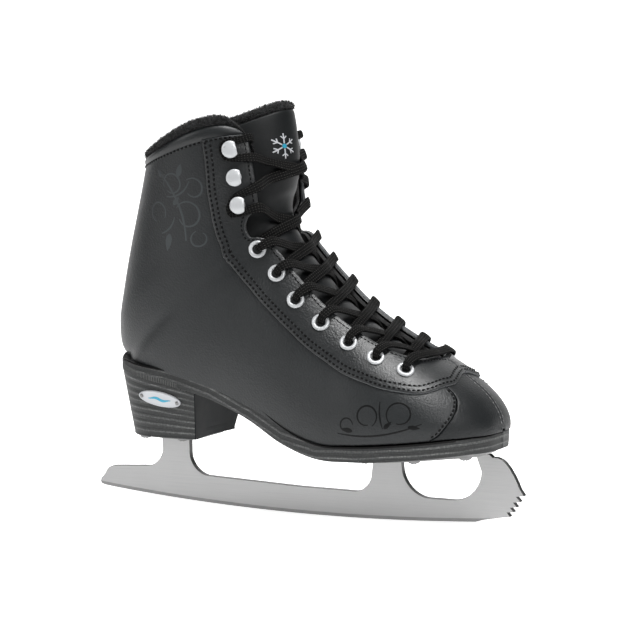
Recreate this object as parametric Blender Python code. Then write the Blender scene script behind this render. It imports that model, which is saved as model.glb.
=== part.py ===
"""A lady's right figure skate: a laced boot on a stacked heel, with a flat stamped blade.

+X points to the toe, -Y to the outer side of the foot and +Z up. The running edge touches z = 0.
Design values are in millimetres and become metres as the meshes are made.

The boot is drawn on one master surface, the outside of its quarters. A slice of that surface,
numbered t, runs from the sole line or the back of the shaft to the front of the boot. A point
on a slice is given by u, from 0 at the sole or back to 1 at the middle of the front, and by its
height h over the surface. The far side counts on: u = 2 - s for s over 1.
"""

import math

import bmesh
import bpy
from mathutils import Vector

MM = 0.001
GAP = 0.3

# Each slice: back x, back z, front x, front z, half width at the sole, largest half width, bow.
SLICES = (
    (105.0, 47.5, 104.8, 48.4, 0.0, 0.8, 0.0),
    (103.0, 47.0, 102.2, 57.0, 13.0, 14.5, 0.0),
    (97.0, 46.5, 95.5, 65.8, 23.0, 24.5, 0.0),
    (87.5, 45.5, 84.5, 74.0, 31.5, 33.0, 0.0),
    (74.0, 44.0, 71.5, 81.5, 38.0, 39.5, 0.0),
    (58.0, 42.3, 57.5, 90.0, 41.5, 42.5, 0.0),
    (42.0, 40.8, 45.5, 98.5, 42.0, 43.0, 0.0),
    (24.0, 40.0, 34.5, 107.5, 40.0, 41.5, 0.0),
    (4.0, 44.5, 25.0, 117.0, 36.0, 39.5, 0.0),
    (-16.0, 54.0, 18.0, 126.0, 32.5, 38.0, 0.0),
    (-38.0, 62.5, 12.5, 134.5, 30.5, 37.0, 0.0),
    (-62.0, 68.5, 9.0, 142.0, 29.5, 36.5, 0.0),
    (-84.0, 73.0, 6.5, 148.5, 23.0, 36.0, 0.0),
    (-98.0, 76.0, 5.0, 154.0, 0.0, 35.5, 0.0),
    (-101.0, 90.0, 4.0, 159.0, 0.0, 35.5, 0.5),
    (-98.5, 108.0, 3.0, 164.0, 0.0, 35.5, 1.0),
    (-94.0, 130.0, 1.5, 170.5, 0.0, 36.0, 2.0),
    (-89.0, 150.0, -1.5, 178.0, 0.0, 37.0, 3.0),
    (-85.0, 166.0, -5.5, 185.5, 0.0, 38.0, 4.0),
    (-82.5, 176.0, -9.5, 191.0, 0.0, 38.5, 4.5),
    (-80.0, 187.0, -15.0, 203.0, 0.0, 39.0, 4.5),
)
HEEL_SLICE = 13  # the slice that starts at the back of the sole
COLLAR = 18.5  # the slice where the quarters end

# Edges on the master surface, as (t, u) or (u, t) points.
FACING_BACK = ((2.86, 0.93), (2.9, 0.75), (3.15, 0.64), (3.47, 0.53), (3.8, 0.465), (4.3, 0.425),
               (5.25, 0.393), (6.3, 0.395), (7.3, 0.42), (8.4, 0.44), (9.4, 0.455), (10.5, 0.477),
               (11.6, 0.512), (12.0, 0.533), (12.5, 0.577), (13.0, 0.614), (13.5, 0.615), (14.4, 0.603),
               (15.6, 0.583), (16.6, 0.571), (18.6, 0.57))
FACING_FRONT = ((2.8, 0.985), (3.85, 0.985), (3.97, 0.93), (4.22, 0.80), (4.62, 0.735), (5.0, 0.705),
                (6.0, 0.675), (7.2, 0.667), (10.2, 0.669), (11.2, 0.674), (12.0, 0.69), (12.7, 0.705),
                (13.2, 0.69), (13.9, 0.69), (14.35, 0.703), (14.55, 0.723), (14.85, 0.738), (16.2, 0.735),
                (18.6, 0.75))
TOE_SEAM = ((0.0, 3.65), (0.065, 3.26), (0.18, 2.92), (0.29, 2.69), (0.41, 2.58), (0.48, 2.6),
            (0.70, 3.05), (0.93, 3.3), (1.0, 3.3))

EYELETS = ((12.05, 0.638), (10.4, 0.60), (9.1, 0.575), (7.85, 0.575), (6.65, 0.569), (5.55, 0.575),
           (4.5, 0.60))  # from the ankle to the toe
HOOKS = ((17.7, 0.669), (16.5, 0.669), (15.3, 0.675))  # from the top down

SOLE_LAP = 0.015  # the u at which the quarters start over the sole

# The layers of the upper share these slices behind the throat, so that their facets stay parallel.
SHARED_SLICES = (3.9, 4.2, 4.65, 5.4, 6.6, 8.0, 9.4, 10.8, 12.0, 12.65, 13.2, 14.0, 14.5, 15.5, 16.6,
                 17.6, COLLAR)
COUNTER_SLICES = SHARED_SLICES[6:13]
FACING_SLICES = (2.95, 3.25, 3.6, *SHARED_SLICES)
LINING_SLICES = (0.7, 1.5, 2.3, 3.0, 3.5, *SHARED_SLICES)
PLAIN_STEPS = 4  # from the sole or back to the facing's back edge
FACING_STEPS = 2  # from there to the facing's front edge

# Layers, as the heights of their inner and outer faces over the master surface.
FACING_LAYER = (0.9, 1.7)
QUARTER_LAYER = (-1.2, 0.0)
STIFFENER_LAYER = (-3.3, -1.9)
LINING_DEPTH = 2.1
LINING_THICKNESS = 2.0
STIFFENER_ROOM = 2.1
TONGUE_LOW = ((4.7, -10.8), (6.0, -10.2), (7.5, -9.0), (20.0, -8.6))  # the height of its edges, by t
TONGUE_WING = ((4.7, 0.58), (9.0, 0.56), (12.0, 0.58), (14.0, 0.60), (20.0, 0.62))  # the u of its edges
TONGUE_MIDDLE = ((4.7, -6.8), (5.0, -6.9), (6.0, -8.0), (7.0, -8.9), (8.0, -10.4), (9.0, -10.8),
                 (10.0, -12.5), (11.0, -14.0), (12.0, -15.0), (14.0, -13.0), (15.0, -10.0), (16.0, -7.0),
                 (17.0, -4.0), (18.0, -0.5), (19.0, 3.0), (20.0, 6.0))  # its height at the front, by t
TONGUE_START = 4.85
TONGUE_ARCH = 2.2
TONGUE_LAYERS = ((-1.3, 0.0), (-6.0, -1.6), (-7.5, -6.3))
TONGUE_HINGE = (57.0, 0.0, 82.0)

EYELET_FLANGE = 4.3
EYELET_BORE = 2.4
EYELET_BARREL = 2.9
HOOK_HEAD = 4.2
HOOK_STEM = 1.4

LACE_WIDTH = 5.0
LACE_THICKNESS = 1.3
LACE_PINCHED = 2.2
LACE_UNDER = -6.7
LACE_OVER = 3.8
LACE_BULGE = 2.2
LACE_CROSSING = 1.7
LACE_CLEAR = 2.6
LACE_EDGE = 0.03  # u from a facing's front edge to a strand that comes up past it

HEXAGON_ROOM = 1.16  # lets a six-sided hole clear the circle inside it

# The sole line is the back of slices 0 to 13. Thickness of the sole below it, by x.
SOLE_THICKNESS = ((-104.0, 4.5), (-19.0, 4.0), (6.0, 5.0), (34.0, 6.5), (53.0, 7.4), (96.0, 7.9),
                  (110.0, 8.6))
SOLE_EDGE = 0.9  # how far the sole stands out from the upper
HEEL_BOTTOM = 38.0
HEEL_BREAST_TOP = -46.5
HEEL_BREAST_BOTTOM = -50.0
HEEL_REAR_TOP = -99.3
HEEL_REAR_BOTTOM = -93.5
HEEL_HALF_TOP = 29.8
HEEL_HALF_BOTTOM = 22.0

BADGE_CENTRE = (-66.9, 57.0)
BADGE_HALF_LONG = 11.7
BADGE_HALF_TALL = 3.9
BADGE_LEAN = -8.0  # degrees
BADGE_RIVETS = (-10.0, 10.0)

BLADE_THICKNESS = 3.6
ROCKER_RADIUS = 1150.0
ROCKER_CENTRE = 12.0
PLATE_THICKNESS = 2.0
HEEL_PLATE_SCREWS = ((-84.0, 11.0), (-62.0, 13.0))
SOLE_PLATE_SCREWS = ((40.0, 18.0), (66.0, 19.0), (90.0, 13.0))
SCREW_HEAD = 3.2
SCREW_SHANK = 1.5

COLOURS = {
    "vinyl": ((0.028, 0.031, 0.033), 0.45, 0.0),
    "fleece": ((0.012, 0.012, 0.012), 0.95, 0.0),
    "lining": ((0.03, 0.03, 0.03), 0.9, 0.0),
    "board": ((0.35, 0.25, 0.16), 0.8, 0.0),
    "foam": ((0.15, 0.15, 0.16), 0.9, 0.0),
    "sole": ((0.06, 0.063, 0.063), 0.6, 0.0),
    "steel": ((0.62, 0.62, 0.63), 0.35, 1.0),
    "white": ((0.8, 0.8, 0.8), 0.3, 0.2),
    "lace": ((0.015, 0.015, 0.015), 0.85, 0.0),
}


# --- small helpers ---


def smooth(low, high, x):
    """0 below low, 1 above high, and a smooth step between them."""
    f = min(max((x - low) / (high - low), 0.0), 1.0)
    return f * f * (3.0 - 2.0 * f)


def along(points, x):
    """The value at x of a line through (x, value) points, in rising order."""
    if x <= points[0][0]:
        return points[0][1]
    for (x0, y0), (x1, y1) in zip(points, points[1:]):
        if x <= x1:
            return y0 + (y1 - y0) * (x - x0) / (x1 - x0)
    return points[-1][1]


def steps(low, high, count):
    return [low + (high - low) * i / count for i in range(count + 1)]


# --- the master surface ---


def slice_at(t):
    """The seven values of a slice, on a smooth curve through the listed ones."""
    last = len(SLICES) - 1
    t = min(max(t, 0.0), last - 1e-9)
    i, f = int(t), t - int(t)
    b, c = SLICES[i], SLICES[i + 1]
    a = SLICES[i - 1] if i else [2 * p - q for p, q in zip(b, c)]
    d = SLICES[i + 2] if i + 2 <= last else [2 * q - p for p, q in zip(b, c)]
    return [
        0.5 * (2 * q + (r - p) * f + (2 * p - 5 * q + 4 * r - s) * f**2 + (3 * q - p - 3 * r + s) * f**3)
        for p, q, r, s in zip(a, b, c, d)
    ]


def on_surface(t, u):
    """The point of the outer (-Y) side at slice t and place u, in millimetres."""
    back_x, back_z, front_x, front_z, sole_half, half, bow = slice_at(t)
    start = math.asin(min(max(sole_half / half, 0.0), 0.98))
    angle = start + (math.pi - start) * u
    v = (math.cos(start) - math.cos(angle)) / (1.0 + math.cos(start))
    run, rise = front_x - back_x, front_z - back_z
    chord = math.hypot(run, rise)
    arch = bow * math.sin(math.pi * min(max(v, 0.0), 1.0) ** 1.6) / chord
    return Vector((back_x + run * v - rise * arch, -half * math.sin(angle), back_z + rise * v + run * arch))


def frame_at(t, u):
    """The point, the outward normal and the direction of rising t, on the outer (-Y) side."""
    e = 0.02
    here = on_surface(t, u)
    t0, t1 = max(t - e, 0.0), min(t + e, len(SLICES) - 1.001)
    u0, u1 = max(u - e, 0.0), min(u + e, 1.0)
    by_t = on_surface(t1, u) - on_surface(t0, u)
    by_u = on_surface(t, u1) - on_surface(t, u0)
    normal = by_u.cross(by_t).normalized()
    if u > 0.999 or (u < 0.001 and t > HEEL_SLICE):
        normal.y = 0.0
        normal.normalize()
    return here, normal, by_t.normalized()


def boot_point(t, s, h):
    """A point at slice t, place s from 0 to 2 and height h over the surface, in millimetres."""
    far = s > 1.0
    here, normal, _ = frame_at(t, 2.0 - s if far else s)
    p = here + normal * h
    return Vector((p.x, -p.y, p.z)) if far else p


# --- making objects ---


def material(name, kind):
    colour, roughness, metallic = COLOURS[kind]
    made = bpy.data.materials.new(name)
    made.use_nodes = True
    shader = made.node_tree.nodes["Principled BSDF"]
    shader.inputs["Base Color"].default_value = (*colour, 1.0)
    shader.inputs["Roughness"].default_value = roughness
    shader.inputs["Metallic"].default_value = metallic
    return made


def add_object(name, bm, kind, sharp=40.0):
    """A named object from a bmesh whose points are in millimetres."""
    bmesh.ops.scale(bm, vec=(MM, MM, MM), verts=bm.verts)
    bmesh.ops.recalc_face_normals(bm, faces=bm.faces)
    mesh = bpy.data.meshes.new(name)
    bm.to_mesh(mesh)
    bm.free()
    mesh.shade_smooth()
    mesh.set_sharp_from_angle(angle=math.radians(sharp))
    mesh.materials.append(material(name, kind))
    obj = bpy.data.objects.new(name, mesh)
    bpy.context.scene.collection.objects.link(obj)
    return obj


def mirrored_name(stem, side):
    return f"{stem}_{'near' if side < 0 else 'far'}"


def loft(rings):
    """A closed body through rings of the same number of points, with its two ends filled."""
    bm = bmesh.new()
    rows = [[bm.verts.new(p) for p in ring] for ring in rings]
    count = len(rows[0])
    for low, high in zip(rows, rows[1:]):
        for k in range(count):
            bm.faces.new((low[k], low[(k + 1) % count], high[(k + 1) % count], high[k]))
    bm.faces.new(rows[0])
    bm.faces.new(rows[-1])
    return bm


def skin(bm, grid):
    """Faces over a grid of (inner, outer) points and round its rim."""
    across, down = len(grid) - 1, len(grid[0]) - 1
    for i in range(across):
        for j in range(down):
            a, b, c, d = grid[i][j], grid[i + 1][j], grid[i + 1][j + 1], grid[i][j + 1]
            for k in (0, 1):
                bm.faces.new((a[k], b[k], c[k]))
                bm.faces.new((a[k], c[k], d[k]))
    rim = [(i, 0) for i in range(across)] + [(across, j) for j in range(down)]
    rim += [(i, down) for i in range(across, 0, -1)] + [(0, j) for j in range(down, 0, -1)]
    for (i, j), (k, m) in zip(rim, rim[1:] + rim[:1]):
        p, q = grid[i][j], grid[k][m]
        if max(abs(v.co.y) for v in (*p, *q)) > 1e-6:
            bm.faces.new((p[0], q[0], q[1], p[1]))


def shell(patch, across, down, heights, side=-1, both=False):
    """A closed shell on the master surface.

    patch(a, b) gives (t, u) for a and b from 0 to 1. heights is the inner and outer height, or a
    function of t and u that gives them. With both, the two sides of the boot are joined where they
    meet at y = 0.
    """
    bm = bmesh.new()
    for way in (-1, 1) if both else (side,):
        grid = []
        for a in steps(0.0, 1.0, across):
            row = []
            for b in steps(0.0, 1.0, down):
                t, u = patch(a, b)
                inner, outer = heights(t, u) if callable(heights) else heights
                here, normal, _ = frame_at(t, u)
                pair = []
                for h in (inner, outer):
                    p = here + normal * h
                    y = min(p.y, 0.0) if both else min(p.y, -GAP / 2)
                    pair.append(bm.verts.new((p.x, y * -way, p.z)))
                row.append(pair)
            grid.append(row)
        skin(bm, grid)
    if both:
        bmesh.ops.remove_doubles(bm, verts=bm.verts, dist=0.01)
    return bm


def turned(profile, centre, axis, sides=8, flat=None):
    """A body turned from (radius, height) points round axis at centre.

    A closed profile that stays off the axis makes a ring. flat = (direction, limit, from height)
    cuts the body off square on one side above that height.
    """
    z = axis.normalized()
    x = flat[0].normalized() if flat else z.orthogonal().normalized()
    y = z.cross(x)
    bm = bmesh.new()
    rows = []
    for radius, height in profile:
        row = []
        for k in range(sides if radius > 0 else 1):
            angle = math.tau * (k + 0.5) / sides
            cx, cy = radius * math.cos(angle), radius * math.sin(angle)
            if flat and height > flat[2]:
                cx = min(cx, flat[1])
            row.append(bm.verts.new(centre + x * cx + y * cy + z * height))
        rows.append(row)
    pairs = list(zip(rows, rows[1:]))
    if profile[0][0] > 0:
        pairs.append((rows[-1], rows[0]))
    for low, high in pairs:
        for k in range(sides):
            m = (k + 1) % sides
            corners = [low[k % len(low)], low[m % len(low)], high[m % len(high)], high[k % len(high)]]
            bm.faces.new(list(dict.fromkeys(corners)))
    return bm


def cutter(name, bodies):
    """One hidden object that holds several closed bodies to cut with."""
    joined = bmesh.new()
    for body in bodies:
        mesh = bpy.data.meshes.new(name)
        body.to_mesh(mesh)
        body.free()
        joined.from_mesh(mesh)
        bpy.data.meshes.remove(mesh)
    obj = add_object(name, joined, "steel")
    obj.hide_render = True
    obj.display_type = "WIRE"
    return obj


def cut(obj, tool):
    boolean = obj.modifiers.new("holes", "BOOLEAN")
    boolean.operation = "DIFFERENCE"
    boolean.solver = "EXACT"
    boolean.object = tool


def rod(radius, low, high, centre, axis, sides=8):
    return turned([(0.0, low), (radius, low), (radius, high), (0.0, high)], centre, axis, sides)


# --- the upper ---


def stiffened(t, u):
    """How much of the stiffener's room the lining leaves: 1 at the toe box and heel counter."""
    toe = 1.0 - smooth(2.4, 3.6, t)
    heel = smooth(7.6, 8.8, t) * (1.0 - smooth(15.8, 16.8, t)) * (1.0 - smooth(0.42, 0.53, u))
    return max(toe, heel)


def lining_heights(t, u):
    outer = -LINING_DEPTH - STIFFENER_ROOM * stiffened(t, u)
    return outer - LINING_THICKNESS, outer


def vamp_patch(a, b):
    u = 0.025 + 0.97 * b
    return (along(TOE_SEAM, u) - 0.04) * a, u


def pick(values, share):
    """The value at a share of the way through a list, straight between its neighbours."""
    return along(list(enumerate(values)), share * (len(values) - 1))


def upper_u(t, b, lap):
    """The place on slice t at a share b of the way up the side, on the steps that the layers share."""
    low = lap * (1.0 - smooth(HEEL_SLICE - 1.0, HEEL_SLICE, t))
    back, front = along(FACING_BACK, t), along(FACING_FRONT, t)
    turn = PLAIN_STEPS / (PLAIN_STEPS + FACING_STEPS)
    if b < turn:
        return low + (back - low) * b / turn
    return back + (front - back) * (b - turn) / (1.0 - turn)


def quarter_patch(a, b):
    u = b
    for _ in range(4):
        seam = along(TOE_SEAM, u) + 0.02
        t = pick((seam, (seam + SHARED_SLICES[0]) / 2.0, *SHARED_SLICES), a)
        u = upper_u(t, b, SOLE_LAP)
    return t, u


def counter_patch(a, b):
    t = pick(COUNTER_SLICES, a)
    return t, upper_u(t, 0.5 * b, 2.5 * SOLE_LAP)


def facing_patch(a, b):
    t = pick(FACING_SLICES, a)
    back, front = along(FACING_BACK, t), along(FACING_FRONT, t)
    return t, back + (front - back) * b


def lining_patch(a, b):
    t = pick(LINING_SLICES, a)
    return t, upper_u(t, b, 2.0 * SOLE_LAP)


def lacing_holes(side):
    """Cutters for the shanks of one side's eyelets and hooks."""
    rods = []
    for places, radius in ((EYELETS, EYELET_BARREL), (HOOKS, HOOK_STEM)):
        for t, u in places:
            here, normal, _ = frame_at(t, u)
            wide = HEXAGON_ROOM * (radius + GAP)
            rods.append(rod(wide, -8.0, 4.0, flip(here, side), flip(normal, side), 6))
    return cutter(mirrored_name("lacing_holes", side), rods)


def toe_box_patch(a, b):
    return 0.2 + 1.9 * a, 0.04 + 0.96 * b


def make_upper():
    side_steps = PLAIN_STEPS + FACING_STEPS
    for side in (-1, 1):
        holes = lacing_holes(side)
        vamp = shell(vamp_patch, 7, 10, QUARTER_LAYER, side)
        quarter = shell(quarter_patch, len(SHARED_SLICES) + 1, side_steps, QUARTER_LAYER, side)
        facing = shell(facing_patch, len(FACING_SLICES) - 1, FACING_STEPS, FACING_LAYER, side)
        lining = shell(lining_patch, len(LINING_SLICES) - 1, side_steps, lining_heights, side)
        add_object(mirrored_name("vamp", side), vamp, "vinyl")
        cut(add_object(mirrored_name("quarter", side), quarter, "vinyl"), holes)
        cut(add_object(mirrored_name("facing", side), facing, "vinyl"), holes)
        cut(add_object(mirrored_name("lining", side), lining, "lining"), holes)
    add_object("toe_box", shell(toe_box_patch, 4, 6, STIFFENER_LAYER, both=True), "board")
    add_object("heel_counter", shell(counter_patch, 6, 3, STIFFENER_LAYER, both=True), "board")


def flip(v, side):
    """A vector of the outer side, taken over to the given side."""
    return Vector((v.x, -v.y if side > 0 else v.y, v.z))


def collar_tube(h, lift, radii, reach, count=30, sides=6):
    """A tube round the top of the boot. lift and radii are functions of u, and reach is its last u."""
    rings = []
    for s in steps(-reach, reach, count):
        u = abs(s)
        here, normal, up = frame_at(COLLAR, u)
        wide, tall = radii(u)
        ring = []
        for k in range(sides):
            angle = math.tau * (k + 0.5) / sides
            p = here + normal * (h + wide * math.cos(angle)) + up * (lift(u) + tall * math.sin(angle))
            y = p.y if u > 1e-6 else 0.0
            ring.append(Vector((p.x, y if s < 0 else -y, p.z)))
        rings.append(ring)
    return loft(rings)


def band_height(u):
    """Half the height of the padded collar band: low at the back, full at the sides."""
    return 1.5 + 1.5 * smooth(0.05, 0.45, u)


def make_collar():
    def band_lift(u):
        return band_height(u) + 2.5 * GAP

    def band_radii(u):
        return 2.6, band_height(u)

    def fleece_lift(u):
        return 2.0 * band_height(u) + 3.6

    def fleece_radii(_):
        return 2.9, 2.4

    add_object("collar_band", collar_tube(-1.6, band_lift, band_radii, 0.70), "vinyl")
    add_object("collar_fleece", collar_tube(-3.0, fleece_lift, fleece_radii, 0.71), "fleece")


# --- the tongue ---


def tongue_point(t, k):
    """A point of the tongue's face: k runs from -1 at its near edge over the middle to 1."""
    wing = boot_point(t, along(TONGUE_WING, t), along(TONGUE_LOW, t))
    middle = boot_point(t, 1.0, along(TONGUE_MIDDLE, t))
    share = 1.0 - abs(k) ** TONGUE_ARCH
    return Vector((wing.x + (middle.x - wing.x) * share, -wing.y * k, wing.z + (middle.z - wing.z) * share))


def tongue_frame(t, k):
    """The point, the outward normal and the direction of rising t on the tongue's face."""
    e = 0.03
    up = tongue_point(min(t + e, 19.99), k) - tongue_point(t - e, k)
    across = tongue_point(t, min(k + e, 1.0)) - tongue_point(t, max(k - e, -1.0))
    return tongue_point(t, k), across.cross(up).normalized(), up.normalized()


def tongue_top(k):
    """The slice of the tongue's top edge at a place across it."""
    return 19.62 - 0.75 * abs(k) ** 2.5


def tongue_layer(inner, outer):
    """A layer of the tongue, between two heights over its face."""
    bm = bmesh.new()
    grid = []
    for a in steps(0.0, 1.0, 12):
        row = []
        for k in steps(-1.0, 1.0, 8):
            here, normal, _ = tongue_frame(TONGUE_START + (tongue_top(k) - TONGUE_START) * a, k)
            row.append([bm.verts.new(here + normal * h) for h in (inner, outer)])
        grid.append(row)
    skin(bm, grid)
    return bm


def make_tongue():
    names = (("tongue_face", "vinyl"), ("tongue_padding", "foam"), ("tongue_lining", "fleece"))
    for (name, kind), (inner, outer) in zip(names, TONGUE_LAYERS):
        add_object(name, tongue_layer(inner, outer), kind)
    rings = []
    for k in steps(-1.0, 1.0, 12):
        here, normal, up = tongue_frame(tongue_top(k), k)
        centre = here - normal * 3.6 + up * (2.2 + GAP)
        angles = [math.tau * m / 6 for m in range(6)]
        rings.append([centre + normal * (3.4 * math.cos(a)) + up * (2.1 * math.sin(a)) for a in angles])
    add_object("tongue_trim", loft(rings), "fleece")
    hinge = bpy.data.objects.new("tongue_hinge", None)
    bpy.context.scene.collection.objects.link(hinge)
    hinge.location = Vector(TONGUE_HINGE) * MM
    for name in ("tongue_face", "tongue_padding", "tongue_lining", "tongue_trim"):
        piece = bpy.data.objects[name]
        piece.parent = hinge
        piece.location = -hinge.location


# --- the bottom ---


def sole_line(x):
    """The height of the sole line at x."""
    points = sorted((s[0], s[1]) for s in SLICES[: HEEL_SLICE + 1])
    return along(points, x)


def sole_bottom(x):
    return sole_line(x) - along(SOLE_THICKNESS, x)


def outline(grow, low_t, high_t, count):
    """The sole's outline in plan, moved out by grow: (x, half width) from toe to heel."""
    points = []
    for t in steps(low_t, high_t, count):
        e = 0.05
        a, b = slice_at(max(t - e, 0.0)), slice_at(min(t + e, float(HEEL_SLICE)))
        here = slice_at(t)
        run, wide = b[0] - a[0], b[4] - a[4]
        size = math.hypot(run, wide) or 1.0
        x, y = here[0] + grow * wide / size, max(here[4], 0.0) - grow * run / size
        points.append((x, max(y, 1.0)))
    return points


def slab(grow, low_t, high_t, bottom, top, count=36, taper=0.0):
    """A plate of the sole's outline. Its faces lie at heights over the sole line, or at bottom(x)."""
    rings = []
    for x, y in outline(grow, low_t, high_t, count):
        low = bottom(x) if callable(bottom) else sole_line(x) + bottom
        high = sole_line(x) + top
        under = max(y - taper, 0.6)
        rings.append([(x, -y, high), (x, 0.0, high), (x, y, high), (x, under, low), (x, 0.0, low),
                      (x, -under, low)])
    return loft([[Vector(p) for p in ring] for ring in rings])


def heel_ring(share, count=14):
    """The heel's outline at a share of its height: a half round at the rear and a flat breast."""
    rear = HEEL_REAR_TOP + (HEEL_REAR_BOTTOM - HEEL_REAR_TOP) * share
    breast = HEEL_BREAST_TOP + (HEEL_BREAST_BOTTOM - HEEL_BREAST_TOP) * share
    half = HEEL_HALF_TOP + (HEEL_HALF_BOTTOM - HEEL_HALF_TOP) * share
    corner = 2.0
    ring = [(breast - corner, half), (breast - 0.4, half - 1.2), (breast, half - 4.0)]
    ring += [(breast - 0.8, 0.0)]
    ring += [(x, -y) for x, y in reversed(ring[:3])]
    for k in range(count + 1):
        angle = math.pi * k / count
        ring.append((rear + half - half * math.sin(angle), -half * math.cos(angle)))
    points = []
    for x, y in ring:
        top = sole_bottom(x) - GAP
        points.append(Vector((x, y, top + (HEEL_BOTTOM - top) * share)))
    return points


def screws():
    """Each screw: its name, its place and the slope of the plate there."""
    placed = []
    for k, (x, y) in enumerate(HEEL_PLATE_SCREWS):
        for side in (-1, 1):
            placed.append((mirrored_name(f"heel_screw_{k + 1}", side), Vector((x, side * y, HEEL_BOTTOM)),
                           Vector((0.0, 0.0, 1.0))))
    for k, (x, y) in enumerate(SOLE_PLATE_SCREWS):
        slope = (sole_bottom(x + 2.0) - sole_bottom(x - 2.0)) / 4.0
        up = Vector((-slope, 0.0, 1.0)).normalized()
        for side in (-1, 1):
            place = Vector((x, side * y, sole_bottom(x)))
            placed.append((mirrored_name(f"sole_screw_{k + 1}", side), place, up))
    return placed


def plate_heel():
    """The heel plate: a rounded plate under the heel, fastened by four screws."""
    rings = []
    for x, y in ((-88.5, 8.0), (-87.5, 12.5), (-84.0, 15.5), (-70.0, 18.0), (-57.0, 18.5), (-54.0, 17.0),
                 (-53.0, 13.5)):
        low = HEEL_BOTTOM - GAP - PLATE_THICKNESS
        rings.append([Vector((x, -y, low + PLATE_THICKNESS)), Vector((x, y, low + PLATE_THICKNESS)),
                      Vector((x, y, low)), Vector((x, -y, low))])
    return loft(rings)


def plate_sole():
    """The sole plate: it follows the underside of the sole from the ball to the toe."""
    rings = []
    for x, y in ((33.0, 14.0), (34.5, 21.0), (38.0, 24.0), (53.0, 25.0), (66.0, 24.5), (82.0, 20.0),
                 (93.0, 17.0), (97.0, 12.0), (98.0, 6.0)):
        high = sole_bottom(x) - GAP
        rings.append([Vector((x, -y, high)), Vector((x, y, high)), Vector((x, y, high - PLATE_THICKNESS)),
                      Vector((x, -y, high - PLATE_THICKNESS))])
    return loft(rings)


def rocker(x):
    """The height of the running edge at x."""
    return (x - ROCKER_CENTRE) ** 2 / (2.0 * ROCKER_RADIUS)


def arc(centre, radius, start, end, count):
    """Points of an arc in the XZ plane, with its angles in degrees."""
    return [
        (centre[0] + radius * math.cos(math.radians(a)), centre[1] + radius * math.sin(math.radians(a)))
        for a in steps(start, end, count)
    ]


def blade_outline():
    """The blade seen from its outer side, from the tail along the top to the toe and back below."""
    heel_top = HEEL_BOTTOM - PLATE_THICKNESS - 2 * GAP

    def under(x):
        return sole_bottom(x) - PLATE_THICKNESS - 2 * GAP

    points = [(-113.5, 6.9), (-115.9, 8.2), (-114.6, 11.5)] + arc((-107.5, 11.6), 5.6, 160, 92, 4)
    points += [(-92.0, 18.2)] + arc((-89.5, 28.3), 10.0, -83, -8, 4)
    points += [(-80.0, heel_top), (-64.3, heel_top)] + arc((-52.2, 27.3), 12.0, 176, 262, 6)
    points += [(-2.4, 13.5)] + arc((26.6, 23.0), 9.8, -84, -14, 5)
    points += [(37.0, 28.0), (37.0, under(37.0)), (52.1, under(52.1))]
    points += arc((68.0, 28.0), 15.6, 185, 262, 7) + arc((79.0, 27.5), 15.0, -88, 0, 7)
    points += [(92.8, 30.5), (91.0, under(91.0)), (98.0, under(98.0)), (99.6, 34.6), (103.0, 34.4)]
    points += [(106.2, 32.4), (110.6, 26.4), (113.6, 20.0)]
    for tip, root in (((115.9, 16.8), (111.9, 16.3)), ((114.1, 13.9), (110.4, 13.4)),
                      ((112.4, 11.2), (108.9, 10.8)), ((110.8, 8.7), (107.2, 8.4))):
        points += [tip, root]
    points += [(108.9, 6.3), (104.6, 5.7), (95.5, 4.0)]
    points += [(x, rocker(x)) for x in steps(91.0, -106.5, 20)]
    return points


def make_bottom():
    placed = screws()
    holes = cutter("screw_holes", [rod(1.1 * (SCREW_SHANK + GAP), -6.0, 5.6, p, up) for _, p, up in placed])
    sole = slab(SOLE_EDGE, 0.0, HEEL_SLICE, sole_bottom, -0.8, 28, 1.2)
    cut(add_object("outsole", sole, "sole"), holes)
    heel = loft([heel_ring(share) for share in steps(0.0, 1.0, 4)])
    cut(add_object("heel_block", heel, "sole"), holes)
    cut(add_object("heel_plate", plate_heel(), "steel"), holes)
    cut(add_object("sole_plate", plate_sole(), "steel"), holes)
    for name, place, up in placed:
        head = -PLATE_THICKNESS - 2 * GAP
        profile = [(0.0, head - 1.5), (1.8, head - 1.3), (SCREW_HEAD, head - 0.2), (SCREW_HEAD, head),
                   (SCREW_SHANK, head), (SCREW_SHANK, 3.6), (0.0, 5.0)]
        add_object(name, turned(profile, place, up), "steel")
    points = blade_outline()
    half = BLADE_THICKNESS / 2.0
    blade = loft([[Vector((x, y, z)) for x, z in points] for y in (-half, half)])
    add_object("blade", blade, "steel", 30.0)
    add_object("shank", slab_strip(-78.0, 26.0, 9.0, -0.1, 1.0), "steel")
    add_object("insole_board", slab(-7.0, 0.9, 12.5, 1.6, 3.6, 18), "board")
    add_object("footbed", slab(-8.4, 1.2, 12.4, 3.9, 7.4, 18), "foam")
    make_badge()


def slab_strip(low_x, high_x, half, bottom, top):
    """A straight strip that lies on the sole line between two heights over it."""
    rings = []
    for x in steps(low_x, high_x, 16):
        z = sole_line(x)
        rings.append([Vector((x, -half, z + top)), Vector((x, half, z + top)), Vector((x, half, z + bottom)),
                      Vector((x, -half, z + bottom))])
    return loft(rings)


def heel_side(x, z):
    """The outer side of the heel at x and z: its y."""
    top = sole_bottom(x) - GAP
    share = (z - top) / (HEEL_BOTTOM - top)
    return -(HEEL_HALF_TOP + (HEEL_HALF_BOTTOM - HEEL_HALF_TOP) * share)


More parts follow.
